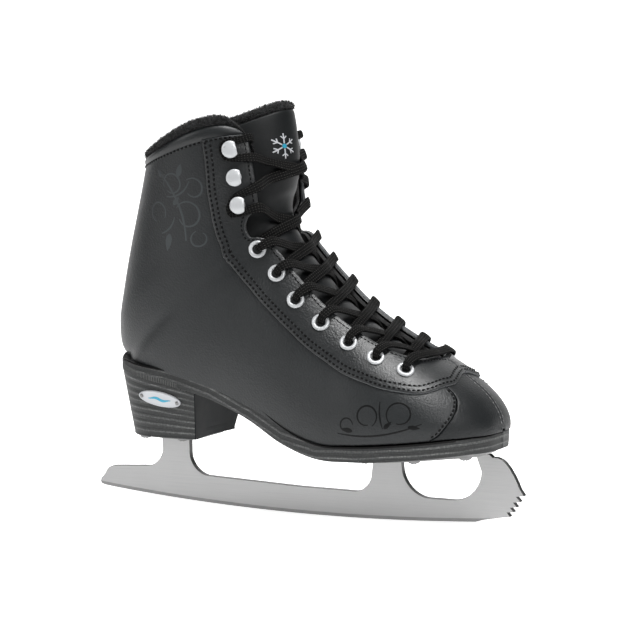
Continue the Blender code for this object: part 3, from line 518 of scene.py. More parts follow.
def steel(name, grey=0.60, rough=(0.30, 0.40), band=False):
    """Satin steel with fine brushing along X. With band, the ground strip at the blade's edge is darker."""
    s = Shader(name, (grey, grey, grey * 1.01), 0.35, 1.0)
    brush = s.noise(60.0, 4.0, s.stretched((0.6, 1.0, 60.0)))
    if band:
        split = s.node("ShaderNodeSeparateXYZ")
        s.link(s.place, split.inputs[0])
        off = s.math("SUBTRACT", split.outputs["X"], ROCKER_CENTRE * MM)
        edge = s.math("DIVIDE", s.math("MULTIPLY", off, off), 2.0 * ROCKER_RADIUS * MM)
        over = s.math("SUBTRACT", split.outputs["Z"], edge)
        ground = s.between(s.math("GREATER_THAN", over, 1.7 * MM), 0.0, 0.5)
        s.colours(s.math("ADD", ground, s.math("MULTIPLY", brush, 0.4)),
                  (0.12, (grey * 0.52,) * 3), (0.30, (grey * 0.68,) * 3), (0.58, (grey * 0.93,) * 3),
                  (0.85, (grey * 1.07,) * 3))
    else:
        s.colours(brush, (0.3, (grey * 0.9,) * 3), (0.7, (grey * 1.1,) * 3))
    s.roughness(brush, *rough)
    s.bump((brush, 0.012))
    return s.material


def enamel(name, colour, rough=0.28):
    s = Shader(name, colour, rough, 0.15, Coat_Weight=0.25, Coat_Roughness=0.2)
    s.roughness(s.noise(300.0, 3.0), rough * 0.85, rough * 1.2)
    s.bump((s.noise(150.0, 2.0), 0.03))
    return s.material


MATERIALS = {
    "vinyl": vinyl("upper_vinyl", 0.0110, grain=0.13, shine=0.34),
    # A darker copy of the upper vinyl for the vamp: painted shade.
    "toe": vinyl("toe_vinyl_shaded", 0.0085, grain=0.13, shine=0.24),
    "facing": vinyl("facing_vinyl", 0.0095, (0.33, 0.41), 0.13, 0.5),
    "soft": vinyl("soft_vinyl", 0.010, (0.34, 0.42), 0.05, 0.4),
    # A darker copy of the upper vinyl for the tongue's face, which lies back between the facings: painted
    # shade.
    "tongue": vinyl("tongue_vinyl", 0.0055, (0.42, 0.50), 0.04, 0.16),
    "edge": raw_edge(),
    "print_pale": vinyl("print_pale", 0.030, (0.45, 0.55), 0.03),
    "print_dark": vinyl("print_dark", 0.0018, (0.40, 0.46), 0.02, 0.15),
    # A lighter, glossier copy of the facing vinyl for the pillows between stitches: its paler colour is a
    # painted highlight.
    "pucker": vinyl("pucker_highlight_vinyl", 0.015, (0.36, 0.42), 0.02, 0.55),
    "thread": thread("thread_black", 0.0015),
    "thread_pale": thread("thread_grey", 0.16),
    "fleece": fleece("fleece"),
    "lining": knit("lining_cloth", 0.02),
    "footbed": knit("footbed_cloth", 0.05),
    "lace": braid(),
    "sole": stacked("stacked_sole"),
    "breast": vinyl("heel_breast", 0.0085, (0.6, 0.7), 0.02, 0.12),
    # Darker than the blade steel, though the plates are the same metal: painted shade for the plates under
    # the boot. The screws, rivets and shank share it.
    "steel": steel("plate_steel", 0.20),
    "blade": steel("blade_steel", 0.33, (0.34, 0.44), True),
    # Near-black steel for the rim faces round the blade's outline: painted shade.
    "blade_rim_shade": steel("blade_rim_shade", 0.03),
    # Dark steel for the screws' cross recesses: painted shade.
    "shaft": steel("recess_shade_steel", 0.08),
    "enamel": enamel("white_enamel", (0.42, 0.43, 0.44)),
    "badge": enamel("badge_white", (0.40, 0.41, 0.43), 0.3),
    "hatch": board("seat_hatch", (0.10, 0.102, 0.10)),
    "cyan": enamel("badge_cyan", (0.01, 0.24, 0.36), 0.35),
    "board": board("fibreboard", (0.20, 0.13, 0.08)),
    "foam": board("foam", (0.03, 0.03, 0.03)),
}


# --- making pieces ---


def linked(name, data):
    obj = bpy.data.objects.new(name, data)
    bpy.context.scene.collection.objects.link(obj)
    return obj


def piece(name, verts, faces, materials, body="boot", replaces=(), slot=None, sharp=50.0, marks=None,
          uv=None, depth=None):
    """A piece from points in millimetres. marks number each face's material; uv and depth are by point."""
    mesh = bpy.data.meshes.new(name)
    mesh.from_pydata([Vector(v) * MM for v in verts], [], faces)
    for material in (materials,) if isinstance(materials, str) else materials:
        mesh.materials.append(MATERIALS[material])
    if marks:
        mesh.polygons.foreach_set("material_index", marks)
    if uv:
        layer = mesh.uv_layers.new(name="UVMap")
        layer.data.foreach_set("uv", [c for loop in mesh.loops for c in uv[loop.vertex_index]])
    if depth:
        mesh.attributes.new("depth", "FLOAT", "POINT").data.foreach_set("value", depth)
    bm = bmesh.new()
    bm.from_mesh(mesh)
    bmesh.ops.recalc_face_normals(bm, faces=bm.faces)
    bm.to_mesh(mesh)
    bm.free()
    mesh.shade_smooth()
    mesh.set_sharp_from_angle(angle=math.radians(sharp))
    obj = linked(name, mesh)
    if body:
        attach(obj, body)
    if replaces:
        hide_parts(*replaces)
    return obj


class Parts:
    """Points and faces of several bodies that become one piece."""

    def __init__(self):
        self.verts, self.faces = [], []

    def add(self, verts, faces):
        base = len(self.verts)
        self.verts += verts
        self.faces += [[base + i for i in face] for face in faces]

    def make(self, name, materials, body="boot"):
        piece(name, self.verts, self.faces, materials, body)


def mirrored(verts, side):
    return [flip(Vector(v), side) for v in verts]


def loft(rings, capped=True):
    """Points and faces of a body through rings of the same number of points."""
    count = len(rings[0])
    verts = [p for ring in rings for p in ring]
    faces = []
    for i in range(len(rings) - 1):
        for k in range(count):
            m = (k + 1) % count
            faces.append([i * count + k, i * count + m, (i + 1) * count + m, (i + 1) * count + k])
    if capped:
        faces.append(list(range(count)))
        faces.append([(len(rings) - 1) * count + k for k in range(count)])
    return verts, faces


def turned(profile, centre, axis, sides=32, flat=None):
    """Points and faces of a body turned from (radius, height) points. flat cuts it off square on one side."""
    z = axis.normalized()
    x = flat[0].normalized() if flat else z.orthogonal().normalized()
    y = z.cross(x)
    verts, rows = [], []
    for radius, height in profile:
        row = []
        for k in range(sides if radius > 0 else 1):
            angle = math.tau * (k + 0.5) / sides
            cx, cy = radius * math.cos(angle), radius * math.sin(angle)
            if flat and height > flat[2]:
                cx = min(cx, flat[1])
            row.append(len(verts))
            verts.append(centre + x * cx + y * cy + z * height)
        rows.append(row)
    pairs = list(zip(rows, rows[1:]))
    if profile[0][0] > 0:
        pairs.append((rows[-1], rows[0]))
    faces = []
    for low, high in pairs:
        for k in range(sides):
            m = (k + 1) % sides
            corners = [low[k % len(low)], low[m % len(low)], high[m % len(high)], high[k % len(high)]]
            faces.append(list(dict.fromkeys(corners)))
    return verts, faces


def grid_faces(rows):
    """Faces of a shell from rows of (inner, outer) point numbers, and 1 for each face of its rim."""
    last_a, last_b = len(rows) - 1, len(rows[0]) - 1
    faces, marks = [], []
    for i in range(last_a):
        for j in range(last_b):
            cell = (rows[i][j], rows[i + 1][j], rows[i + 1][j + 1], rows[i][j + 1])
            for k in (0, 1):
                faces.append([corner[k] for corner in cell])
                marks.append(0)
    rim = [(i, 0) for i in range(last_a)] + [(last_a, j) for j in range(last_b)]
    rim += [(i, last_b) for i in range(last_a, 0, -1)] + [(0, j) for j in range(last_b, 0, -1)]
    for (i, j), (k, m) in zip(rim, rim[1:] + rim[:1]):
        p, q = rows[i][j], rows[k][m]
        faces.append([p[0], q[0], q[1], p[1]])
        marks.append(1)
    return faces, marks


def shell(pair, shares_a, shares_b, round_by=0.5):
    """A shell with rounded edges: points, faces and a mark for each rim face.

    pair(a, b, drop) gives the inner point and the outer one, which is sunk by drop.
    """
    verts, rows = [], []
    last_a, last_b = len(shares_a) - 1, len(shares_b) - 1
    for i, a in enumerate(shares_a):
        row = []
        for j, b in enumerate(shares_b):
            ring = min(i, j, last_a - i, last_b - j)
            row.append((len(verts), len(verts) + 1))
            verts += pair(a, b, round_by * (1.0, 0.35)[ring] if ring < 2 else 0.0)
        rows.append(row)
    return verts, *grid_faces(rows)


def boot_shell(stem, patch, shares_a, shares_b, heights, round_by, materials, slot):
    """A near piece on the master surface and its mirror image on the far side.

    patch(a, b) gives (t, u) on the near side. heights gives the inner and outer height, or is a
    function of t and u that does.
    """

    def pair(a, b, drop):
        t, u = patch(a, b)
        inner, outer = heights(t, u) if callable(heights) else heights
        made = [boot_point(t, u, h) for h in (inner, outer - drop)]
        for p in made:
            p.y = min(p.y, MIDDLE_SEAM)
        return made

    verts, faces, marks = shell(pair, shares_a, shares_b, round_by)
    for side, word in SIDES:
        piece(f"{stem}_{word}_skin", mirrored(verts, side), faces, materials, marks=marks, slot=slot,
              replaces=(f"{stem}_{word}",))


# --- the upper ---


def low_u(t, lap):
    """The lowest place of a piece that laps under the sole; it runs out at the heel's back."""
    return lap * (1.0 - smooth(HEEL_SLICE - 1.0, HEEL_SLICE, t))


def stiffened(t, u):
    """1 where the toe box or the heel counter lies under the upper, 0 elsewhere."""
    toe = 1.0 - smooth(2.4, 3.6, t)
    heel = smooth(7.6, 8.8, t) * (1.0 - smooth(15.8, 16.8, t)) * (1.0 - smooth(0.42, 0.53, u))
    return max(toe, heel)


def lining_heights(t, u):
    outer = -LINING_DEPTH - STIFFENER_ROOM * stiffened(t, u)
    return outer - LINING_THICKNESS, outer


def vamp_patch(a, b):
    u = 0.015 + 0.982 * b
    return 0.05 + (curve(TOE_SEAM, u) - 0.09) * a, u


def quarter_patch(a, b):
    u = b
    for _ in range(4):
        seam = curve(TOE_SEAM, u) + 0.005
        t = seam + (COLLAR - seam) * a
        low = low_u(t, SOLE_LAP)
        u = low + (curve(FACING_FRONT, t) - low) * b
    return t, u


def facing_t(a):
    """The slice at a share of the facing's length, closer at the throat and at the ankle notch."""
    return curve(((0.0, FACING_LOW), (0.12, 3.9), (0.30, 4.9), (0.45, 9.0), (0.58, 12.3), (0.78, 14.7),
                  (1.0, COLLAR)), a)


def facing_low(u):
    """The slice of the facing's lower edge: it turns up to the middle of the boot."""
    return FACING_LOW + 0.13 * smooth(0.76, 1.0, u)


def facing_patch(a, b):
    t = facing_t(a)
    back, front = curve(FACING_BACK, t), curve(FACING_FRONT, t)
    u = back + (front - back) * b
    return t + (facing_low(u) - FACING_LOW) * (1.0 - a) ** 8, u


def lining_patch(a, b):
    t = 0.7 + (COLLAR - 0.7) * a
    low = low_u(t, 2.0 * SOLE_LAP)
    return t, low + (min(curve(FACING_FRONT, t), 0.98) - low) * b


def make_upper():
    quarter = (-QUARTER_THICKNESS, 0.0)
    boot_shell("vamp", vamp_patch, edged(40, 0.02), edged(60, 0.01), quarter, 0.25,
               ("toe", "toe"), "upper_vinyl")
    boot_shell("quarter", quarter_patch, edged(150, 0.004), edged(46, 0.006), quarter, 0.25,
               ("vinyl", "vinyl"), "upper_vinyl")
    boot_shell("facing", facing_patch, edged(230, 0.003), edged(14, 0.035), (-0.3, FACING_SKIN), 0.4,
               ("facing", "edge"), "facing_vinyl")
    boot_shell("lining", lining_patch, edged(100, 0.004), edged(30, 0.01), lining_heights, 0.5,
               ("lining", "lining"), "lining_cloth")


# --- stitching ---


def offset_path(path, distance):
    """A (t, u) path moved sideways along the surface, to its left as seen from outside."""
    moved_path = []
    for i, (t, u) in enumerate(path):
        a, b = path[max(i - 1, 0)], path[min(i + 1, len(path) - 1)]
        tangent = on_surface(*b) - on_surface(*a)
        _, normal, _ = frame_at(t, u)
        side = normal.cross(tangent).normalized()
        moved_path.append(moved(t, u, side * distance))
    return moved_path


def bead(parts, centre, ahead, n, length, radius, arch):
    """A round-ended bead that lies in the surface, with its ends dipping in."""
    side = n.cross(ahead).normalized()
    up = ahead.cross(side)
    up = up if up.dot(n) > 0 else -up
    rings = []
    for x, r in ((-0.5, 0.35), (-0.42, 0.75), (-0.2, 1.0), (0.2, 1.0), (0.42, 0.75), (0.5, 0.35)):
        middle = centre + ahead * (x * length) + up * (radius * (arch - 2.6 * x * x))
        rings.append([middle + (side * c + up * s) * (radius * r) for c, s in circle(6)])
    parts.add(*loft(rings))


def stitch_row(threads, puckers, path, heights, pitch, length, radius):
    """Stitches along a (t, u) path, with a small pillow of the leather between each two, in a lighter vinyl
    whose paler colour is a painted highlight.
    """
    points = [(boot_point(t, u, h), boot_normal(t, u)) for (t, u), h in zip(path, heights)]
    gone, count = 0.0, 1
    for (p, n), (q, _) in zip(points, points[1:]):
        run = (q - p).length
        while run > 1e-6 and gone + run >= 0.5 * count * pitch:
            ahead = (q - p).normalized()
            centre = p + ahead * (0.5 * count * pitch - gone)
            if count % 2:
                bead(threads, centre, ahead, n, length, radius, 0.35)
            else:
                bead(puckers, centre, ahead, n, 0.75 * (pitch - length) + 0.5, 1.5 * radius, -0.35)
            count += 1
        gone += run


def both_rows(stem, rows, height=0.0, material="thread", pitch=2.35, length=1.5, radius=0.48):
    """The same stitch rows on both sides of the boot, at one height or a height for each point."""
    threads, puckers = Parts(), Parts()
    for path in rows:
        heights = [height] * len(path) if isinstance(height, float) else height
        stitch_row(threads, puckers, path, heights, pitch, length, radius)
    for side, word in SIDES:
        piece(f"{stem}_{word}", mirrored(threads.verts, side), threads.faces, material)
        piece(f"{stem}_puckers_{word}", mirrored(puckers.verts, side), puckers.faces, "pucker")


def make_stitching():
    low = [(facing_low(u), u) for u in steps(0.985, 0.76, 40)]
    back = low + [(t, curve(FACING_BACK, t)) for t in steps(2.93, 3.6, 40) + steps(3.62, 18.3, 200)]
    front = [(t, curve(FACING_FRONT, t)) for t in steps(3.87, 18.2, 300)]
    both_rows("facing_stitches", [offset_path(back, -1.4), offset_path(back, -3.9)], FACING_SKIN)
    both_rows("facing_edge_stitches", [offset_path(front, 2.1)], FACING_SKIN, pitch=2.1, radius=0.3)
    seam = [(curve(TOE_SEAM, u), u) for u in steps(0.03, 0.64, 50)]
    both_rows("toe_seam_stitches", [offset_path(seam, 1.1)])
    collar = [(COLLAR - 0.13, u) for u in steps(0.01, 0.72, 80)]
    heights = [FACING_SKIN if u > curve(FACING_BACK, t) else 0.0 for t, u in collar]
    both_rows("collar_stitches", [collar], heights)
    centre = [(t, MIDDLE) for t in steps(0.25, 3.1, 40)]
    both_rows("toe_centre_stitches", [offset_path(centre, 1.5)], 0.0, "thread_pale", 2.6, 1.3, 0.22)
    throat = [(t, MIDDLE) for t in steps(3.22, 3.82, 20)]
    tacks = [[(t, u) for u in steps(0.90, 0.97, 8)] for t in (3.5, 3.6, 3.7)]
    rows = [offset_path(throat, 1.5), *tacks]
    both_rows("throat_stitches", rows, FACING_SKIN, "thread_pale", 2.2, 1.2, 0.22)


# --- the printed scroll ---


def spiral(centre, start_radius, end_radius, start, end, count=26):
    """Points of a spiral in the plane, with its angles in degrees."""
    points = []
    for f in steps(0.0, 1.0, count):
        radius = start_radius + (end_radius - start_radius) * f
        angle = math.radians(start + (end - start) * f)
        points.append((centre[0] + radius * math.cos(angle), centre[1] + radius * math.sin(angle)))
    return points


def sweep(p, q, bend, count=16):
    """A bowed line from p to q."""
    (px, py), (qx, qy) = p, q
    middle = ((px + qx) / 2 - (qy - py) * bend, (py + qy) / 2 + (qx - px) * bend)
    weights = [((1 - f) ** 2, 2 * f * (1 - f), f * f) for f in steps(0.0, 1.0, count)]
    return [(a * px + b * middle[0] + c * qx, a * py + b * middle[1] + c * qy) for a, b, c in weights]


def make_scroll(stem, material, origin, turn, size, strokes, leaves):
    """Thin raised strokes and leaves, laid on the surface around the place origin = (t, u)."""
    by_t, by_u = partials(*origin)
    _, normal, _ = frame_at(*origin)
    up = Vector((0.0, 0.0, 1.0))
    up = (up - normal * up.dot(normal)).normalized()
    ahead = up.cross(normal)
    c, s = math.cos(math.radians(turn)), math.sin(math.radians(turn))

    def laid(x, y, h):
        x, y = size * (x * c - y * s), size * (x * s + y * c)
        place = origin
        for _ in range(4):
            place = moved(*place, (ahead * x + up * y) / 4.0)
        return boot_point(*place, h)

    def ridge(x, y, nx, ny):
        return [laid(x + nx, y + ny, -0.02), laid(x, y, 0.10), laid(x - nx, y - ny, -0.02), laid(x, y, -0.2)]

    parts = Parts()
    for points, width in strokes:
        rings = []
        count = len(points) - 1
        for i, (x, y) in enumerate(points):
            (ax, ay), (bx, by) = points[max(i - 1, 0)], points[min(i + 1, count)]
            run = math.hypot(bx - ax, by - ay) or 1.0
            w = width * (0.25 + 0.75 * math.sin(math.pi * (0.12 + 0.76 * i / count))) / 2.0
            rings.append(ridge(x, y, -(by - ay) / run * w, (bx - ax) / run * w))
        parts.add(*loft(rings))
    for (x, y), angle, long, wide in leaves:
        rings = []
        ca, sa = math.cos(math.radians(angle)), math.sin(math.radians(angle))
        for f in steps(0.02, 0.98, 12):
            w = wide * math.sin(math.pi * f ** 0.7) / 2.0
            rings.append(ridge(x + ca * long * f, y + sa * long * f, -sa * w, ca * w))
        parts.add(*loft(rings))
    for side, word in SIDES:
        piece(f"{stem}_{word}", mirrored(parts.verts, side), parts.faces, material)


def make_scrolls():
    stem = sweep((-9.0, 17.0), (5.0, -16.0), 0.22)
    strokes = [
        (stem, 1.5),
        (spiral((-2.0, 12.5), 5.4, 4.6, 200, -130), 1.1),
        (spiral((6.5, -3.0), 7.2, 5.0, 150, -160), 1.2),
        (spiral((-11.5, -2.0), 5.2, 4.4, -30, 260), 1.1),
        (spiral((10.0, 10.5), 5.4, 4.0, 130, -140), 1.1),
        (spiral((12.0, -15.5), 4.6, 3.6, 110, 420), 1.1),
        (sweep((-5.5, 6.0), (8.0, 14.0), -0.35), 1.1),
        (sweep((-1.0, -4.0), (-9.0, -12.0), 0.3), 1.1),
    ]
    leaves = [((1.5, 16.0), 70, 7.5, 3.8), ((-4.0, -12.0), -100, 9.0, 4.2), ((-1.5, 2.0), 50, 5.5, 3.0),
              ((-9.5, 15.5), 120, 5.0, 2.6)]
    make_scroll("shaft_scroll", "print_pale", (16.2, 0.455), 0.0, 1.0, strokes, leaves)
    toe = [
        (sweep((-20.0, -6.5), (20.0, -4.0), -0.16), 1.1),
        (spiral((-5.5, 0.5), 5.2, 4.0, -60, 280), 1.0),
        (spiral((10.0, 1.0), 6.2, 4.6, 230, -110), 1.0),
        (spiral((-15.5, -3.0), 3.2, 2.6, 0, 300), 0.9),
        (sweep((2.0, -5.5), (1.0, 7.0), 0.1), 0.9),
    ]
    toe_leaves = [((2.5, -5.5), 40, 5.0, 2.4), ((-12.5, -6.0), 165, 6.0, 2.6), ((13.5, -5.2), -10, 6.0, 2.4)]
    make_scroll("toe_scroll", "print_dark", (5.05, 0.205), 4.0, 1.05, toe, toe_leaves)


# --- collar ---


def closing(u, reach, length):
    """1 along a roll, falling to 0 round its end."""
    return math.sqrt(max(1.0 - (max(u - reach + length, 0.0) / length) ** 2, 0.0))


def band_height(u):
    """Half the height of the padded collar band: low at the back, full at the sides."""
    return 0.9 + 1.8 * smooth(0.10, 0.62, u)


def collar_ring(s, t, h, lift, section):
    """A closed ring round the point above slice t: the section is (outward, up) pairs."""
    here, normal, up = frame_at(t, abs(s))
    ring = [here + normal * (h + out) + up * (lift + rise) for out, rise in section]
    return [Vector((p.x, p.y if s < 0 else -p.y, p.z)) for p in ring]


def band_rings(count):
    """The padded band: its outside carries the quarter's line on, and its top rolls over inwards."""
    rings = []
    for s in steps(-BAND_REACH, BAND_REACH, count):
        u = abs(s)
        close = max(closing(u, BAND_REACH, 0.09), 0.05)
        tall = (2.0 * band_height(u) + 0.7) * close
        section = [(0.05, -0.7), (0.35, -0.2), (0.75, 0.22 * tall), (0.95, 0.5 * tall), (0.7, 0.78 * tall),
                   (0.0, 0.95 * tall), (-1.0, tall), (-2.4, 0.95 * tall), (-3.5, 0.75 * tall),
                   (-3.9, 0.4 * tall), (-3.9, 0.2), (-1.6, 0.0), (-1.5, -0.7)]
        rings.append(collar_ring(s, COLLAR, 0.0, 0.0, section))
    return rings


def fleece_rings(count, sides):
    """The fleece roll over the band, which turns down inside the facings at the front."""
    rings = []
    for f in steps(-1.0, 1.0, count):
        share = abs(f)
        turn = smooth(0.86, 1.0, share)
        u = FLEECE_REACH * min(share / 0.90, 1.0) + 0.03 * smooth(0.86, 0.97, share)
        lift = (2.0 * band_height(u) + 2.8) * max(closing(u, 0.765, 0.10), 0.12) * (1.0 - turn)
        t = COLLAR - 1.25 * turn
        close = max(closing(share, 1.0, 0.03), 0.1)
        wide, tall = (FLEECE_RADII[0] - 1.6 * turn) * close, (FLEECE_RADII[1] - 1.0 * turn) * close
        section = [(wide * c, tall * s) for c, s in circle(sides)]
        ring = collar_ring(math.copysign(u, f), t, -2.4 - 0.5 * turn, lift, section)
        rings.append(lumped(ring, sum(ring, Vector()) / sides, 0.42 * close))
    return rings


def lumped(ring, centre, depth):
    """A ring with its points pushed out or in by noise, for pile."""
    made = []
    for p in ring:
        value = noise.noise(p * LUMP_SIZE) + 0.6 * noise.noise(p * LUMP_SIZE * 2.3)
        made.append(p + (p - centre).normalized() * (depth * value))
    return made


def tufts(name, rings, count, seed, body):
    """Short curled fibres that stand on a tube's surface."""
    draw = random.Random(seed)
    parts = Parts()
    for _ in range(count // (1)):
        i, k = draw.randrange(1, len(rings) - 1), draw.randrange(len(rings[0]))
        ring = rings[i]
        centre = sum(ring, Vector()) / len(ring)
        p = ring[k].lerp(rings[i + 1][k], draw.random())
        away = (p - centre).normalized()
        lean = Vector([draw.uniform(-1, 1) for _ in range(3)])
        reach = PILE_LENGTH * draw.uniform(0.6, 1.25)
        bend = Vector([draw.uniform(-1, 1) for _ in range(3)]).normalized() * (0.55 * reach)
        tip = p + (away + lean * 0.55).normalized() * reach
        fibre = [p - away * 0.3, p.lerp(tip, 0.5) + bend * 0.5, tip + bend * 0.3]
        side = away.orthogonal().normalized()
        other = away.cross(side)
        parts.add(*loft([[q + (side * c + other * s) * r for c, s in circle(3)]
                         for q, r in zip(fibre, (0.13, 0.11, 0.05))]))
    parts.make(name, "fleece", body=body)


def make_collar():
    made = piece("collar_band_skin", *loft(band_rings(240)), "soft", replaces=("collar_band",),
                 slot="collar_vinyl", sharp=80)
    roll = fleece_rings(320, 20)
    made = piece("collar_fleece_pile", *loft(roll), "fleece", replaces=("collar_fleece",), slot="fleece",
                 sharp=180)
    tufts("collar_fleece_fibres", roll, 6500, 11, "boot")


# --- tongue ---


def tongue_point(t, k):
    """The tongue's face at slice t: k runs from -1 at its near edge over the middle to 1 at its far edge."""
    wing = boot_point(t, curve(TONGUE_WING, t), curve(TONGUE_LOW, t))
    middle = boot_point(t, 1.0, curve(TONGUE_MIDDLE, t))
    share = 1.0 - abs(k) ** 2.2
    return Vector((wing.x + (middle.x - wing.x) * share, -wing.y * k, wing.z + (middle.z - wing.z) * share))


def tongue_frame(t, k):
    """The point, the outward normal and the direction of rising t on the tongue's face."""
    e = 0.03
    up = tongue_point(min(t + e, 19.99), k) - tongue_point(t - e, k)
    across = tongue_point(t, min(k + e, 1.0)) - tongue_point(t, max(k - e, -1.0))
    return tongue_point(t, k), across.cross(up).normalized(), up.normalized()


def tongue_top(k):
    """The slice of the tongue's top edge at a place across it."""
    return 19.62 - 0.75 * abs(k) ** 2.5


def tongue_layer(inner, outer):
    """A layer of the tongue, between two heights over its face."""

    def pair(a, b, drop):
        k = 2.0 * b - 1.0
        t = TONGUE_START + (tongue_top(k) - TONGUE_START) * a
        here, normal, _ = tongue_frame(t, k)
        return [here + normal * inner, here + normal * (outer - drop)]

    return shell(pair, edged(90, 0.005), edged(40, 0.015))


def make_tongue():
    layers = (("tongue_face", "tongue", -1.3, 0.0, "tongue_vinyl"),
              ("tongue_padding", "foam", -6.0, -1.6, "tongue_foam"),
              ("tongue_lining", "lining", -7.5, -6.3, "lining_cloth"))
    for name, material, inner, outer, slot in layers:
        verts, faces, _ = tongue_layer(inner, outer)
        made = piece(f"{name}_skin", verts, faces, material, replaces=(name,), slot=slot, body=None)
        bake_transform(made)
    rings = []
    for k in steps(-1.0, 1.0, 130):
        here, normal, up = tongue_frame(tongue_top(k), k)
        deep, tall = TRIM_RADII
        centre = here - normal * deep + up * (2.0 + GAP)
        close = max(closing(abs(k), 1.0, 0.06), 0.1)
        ring = [centre + (normal * (deep * c) + up * (tall * s)) * close for c, s in circle(18)]
        rings.append(lumped(ring, centre, 0.4 * close))
    trim = piece("tongue_trim_pile", *loft(rings), "fleece", body="tongue", replaces=("tongue_trim",),
                 slot="fleece", sharp=180)
    tufts("tongue_trim_fibres", rings, 2600, 12, "tongue")
    make_snowflake()


def make_snowflake():
    """A plain six-armed snowflake on the upper tongue, with a small coloured middle."""
    middle_t, middle_k = SNOWFLAKE_PLACE
    here, _, up = tongue_frame(middle_t, middle_k)

    def laid(x, y, h):
        k = middle_k + x / abs(tongue_point(middle_t, 1.0).y)
        t = middle_t
        for _ in range(6):
            point, _, rising = tongue_frame(t, k)
            t += 0.1 * ((here + up * y).z - point.z) / max(rising.z, 0.3)
        point, out, _ = tongue_frame(t, k)
        return point + out * h

    def bar(parts, p, q, width):
        run = math.hypot(q[0] - p[0], q[1] - p[1])
        nx, ny = -(q[1] - p[1]) / run * width / 2, (q[0] - p[0]) / run * width / 2
        rings = []
        for f in steps(0.0, 1.0, 4):
            x, y = p[0] + (q[0] - p[0]) * f, p[1] + (q[1] - p[1]) * f
            rings.append([laid(x + w * nx, y + w * ny, h)
                          for w, h in ((1, -0.1), (1, 0.12), (-1, 0.12), (-1, -0.1))])
        parts.add(*loft(rings))

    white = Parts()
    for k in range(6):
        c, s = math.cos(math.radians(60 * k + 30)), math.sin(math.radians(60 * k + 30))
        bar(white, (1.3 * c, 1.3 * s), (6.2 * c, 6.2 * s), 0.6)
        for way in (-50, 50):
            e = math.radians(60 * k + 30 + way)
            bar(white, (3.6 * c, 3.6 * s), (3.6 * c + 1.9 * math.cos(e), 3.6 * s + 1.9 * math.sin(e)), 0.5)
    white.make("tongue_snowflake", "badge", body="tongue")
    middle = loft([[laid(1.2 * c, 1.2 * s, h) for c, s in circle(6)] for h in (-0.1, 0.14)])
    piece("tongue_snowflake_middle", *middle, "cyan", body="tongue")


# --- bottom ---


def sole_line(x):
    """The height of the sole line at x."""
    return along(sorted((s[0], s[1]) for s in SLICES[: HEEL_SLICE + 1]), x)


def sole_bottom(x):
    return sole_line(x) - along(SOLE_THICKNESS, x)


def heel_seat(x):
    """Half the width of the heel block's top at x."""
    rear = HEEL_REAR_TOP + HEEL_HALF_TOP
    return math.sqrt(max(HEEL_HALF_TOP**2 - min(x - rear, 0.0) ** 2, 1.0))


def outline(grow, count):
    """The sole's outline, moved out by grow at the sides: (x, half width, height of the sole line)."""
    points = []
    for t in steps(0.0, float(HEEL_SLICE), count):
        e = 0.05
        a, b = slice_at(max(t - e, 0.0)), slice_at(min(t + e, float(HEEL_SLICE)))
        here = slice_at(t)
        run, wide = b[0] - a[0], b[4] - a[4]
        size = math.hypot(run, wide) or 1.0
        nose = smooth(70.0, 100.0, here[0])
        x = here[0] + (grow * (1.0 - nose) - 0.6 * nose) * wide / size
        y = max(max(here[4], 0.0) - grow * run / size, 1.0)
        if x < HEEL_BREAST_TOP:
            y += (heel_seat(x) - y) * smooth(-HEEL_BREAST_TOP, 12.0 - HEEL_BREAST_TOP, -x)
        points.append((x, y, here[1]))
    points.append((HEEL_REAR_TOP, 1.0, points[-1][2]))
    return points


def make_sole():
    """The outsole, with a thin dark cord where the upper meets its edge: a painted shadow of the groove
    there.
    """
    rings, edge = [], []
    for x, y, line in outline(SOLE_EDGE, 140):
        thick, welt_and_shadow = along(SOLE_THICKNESS, x), curve(WELT, x)
        clear_of_heel = smooth(-56.0, -44.0, x)
        ring = []
        for depth, inset in ((-welt_and_shadow, 2.4), (0.1 - welt_and_shadow, 0.3), (0.45 - welt_and_shadow, 0.0), (0.4 * thick, 0.0),
                             (0.7 * thick, 0.3), (thick - 0.4, 0.7), (thick, 1.2)):
            inset *= clear_of_heel if depth > 1.0 else 1.0
            ring.append(Vector((x, -max(y - inset, 0.5), line - depth)))
        rings.append(ring + mirrored(reversed(ring), FAR))
        # The dark cord along the sole's top edge is painted shadow, standing in for the shade between the
        # upper and the sole.
        if abs(x) < 92.0:
            z = line + welt_and_shadow + 0.05
            edge.append([Vector((x, 0.5 * c - y - 0.05, z + 0.45 * s)) for c, s in circle(6)])
    verts, faces = loft(rings)
    depth = [sole_line(v.x) - v.z for v in verts]
    piece("outsole_skin", verts, faces, "sole", replaces=("outsole",), slot="sole_block", depth=depth,
          sharp=35)
    verts, faces = loft(edge)
    welt_and_shadow = Parts()
    for side, _ in SIDES:
        welt_and_shadow.add(mirrored(verts, side), faces)
    welt_and_shadow.make("welt_shadow_line", "thread")


def heel_outline(share, count=48):
    """The heel's outline at a share of its height: a half round rear and a hollowed breast."""
    rear = HEEL_REAR_TOP + (HEEL_REAR_BOTTOM - HEEL_REAR_TOP) * share
    breast = HEEL_BREAST_TOP + (HEEL_BREAST_BOTTOM - HEEL_BREAST_TOP) * share
    half = HEEL_HALF_TOP + (HEEL_HALF_BOTTOM - HEEL_HALF_TOP) * share
    front = [(breast - 0.6, half - 0.15), (breast - 0.15, half - 0.6)]
    for f in (0.9, 0.7, 0.5, 0.25, 0.0):
        front.append((breast - 1.6 * math.cos(math.pi * f / 2), (half - 0.8) * f))
    back = [(rear + half - half * math.sin(a), -half * math.cos(a)) for a in steps(0.0, math.pi, count)]
    return front + [(x, -y) for x, y in reversed(front[:-1])] + back


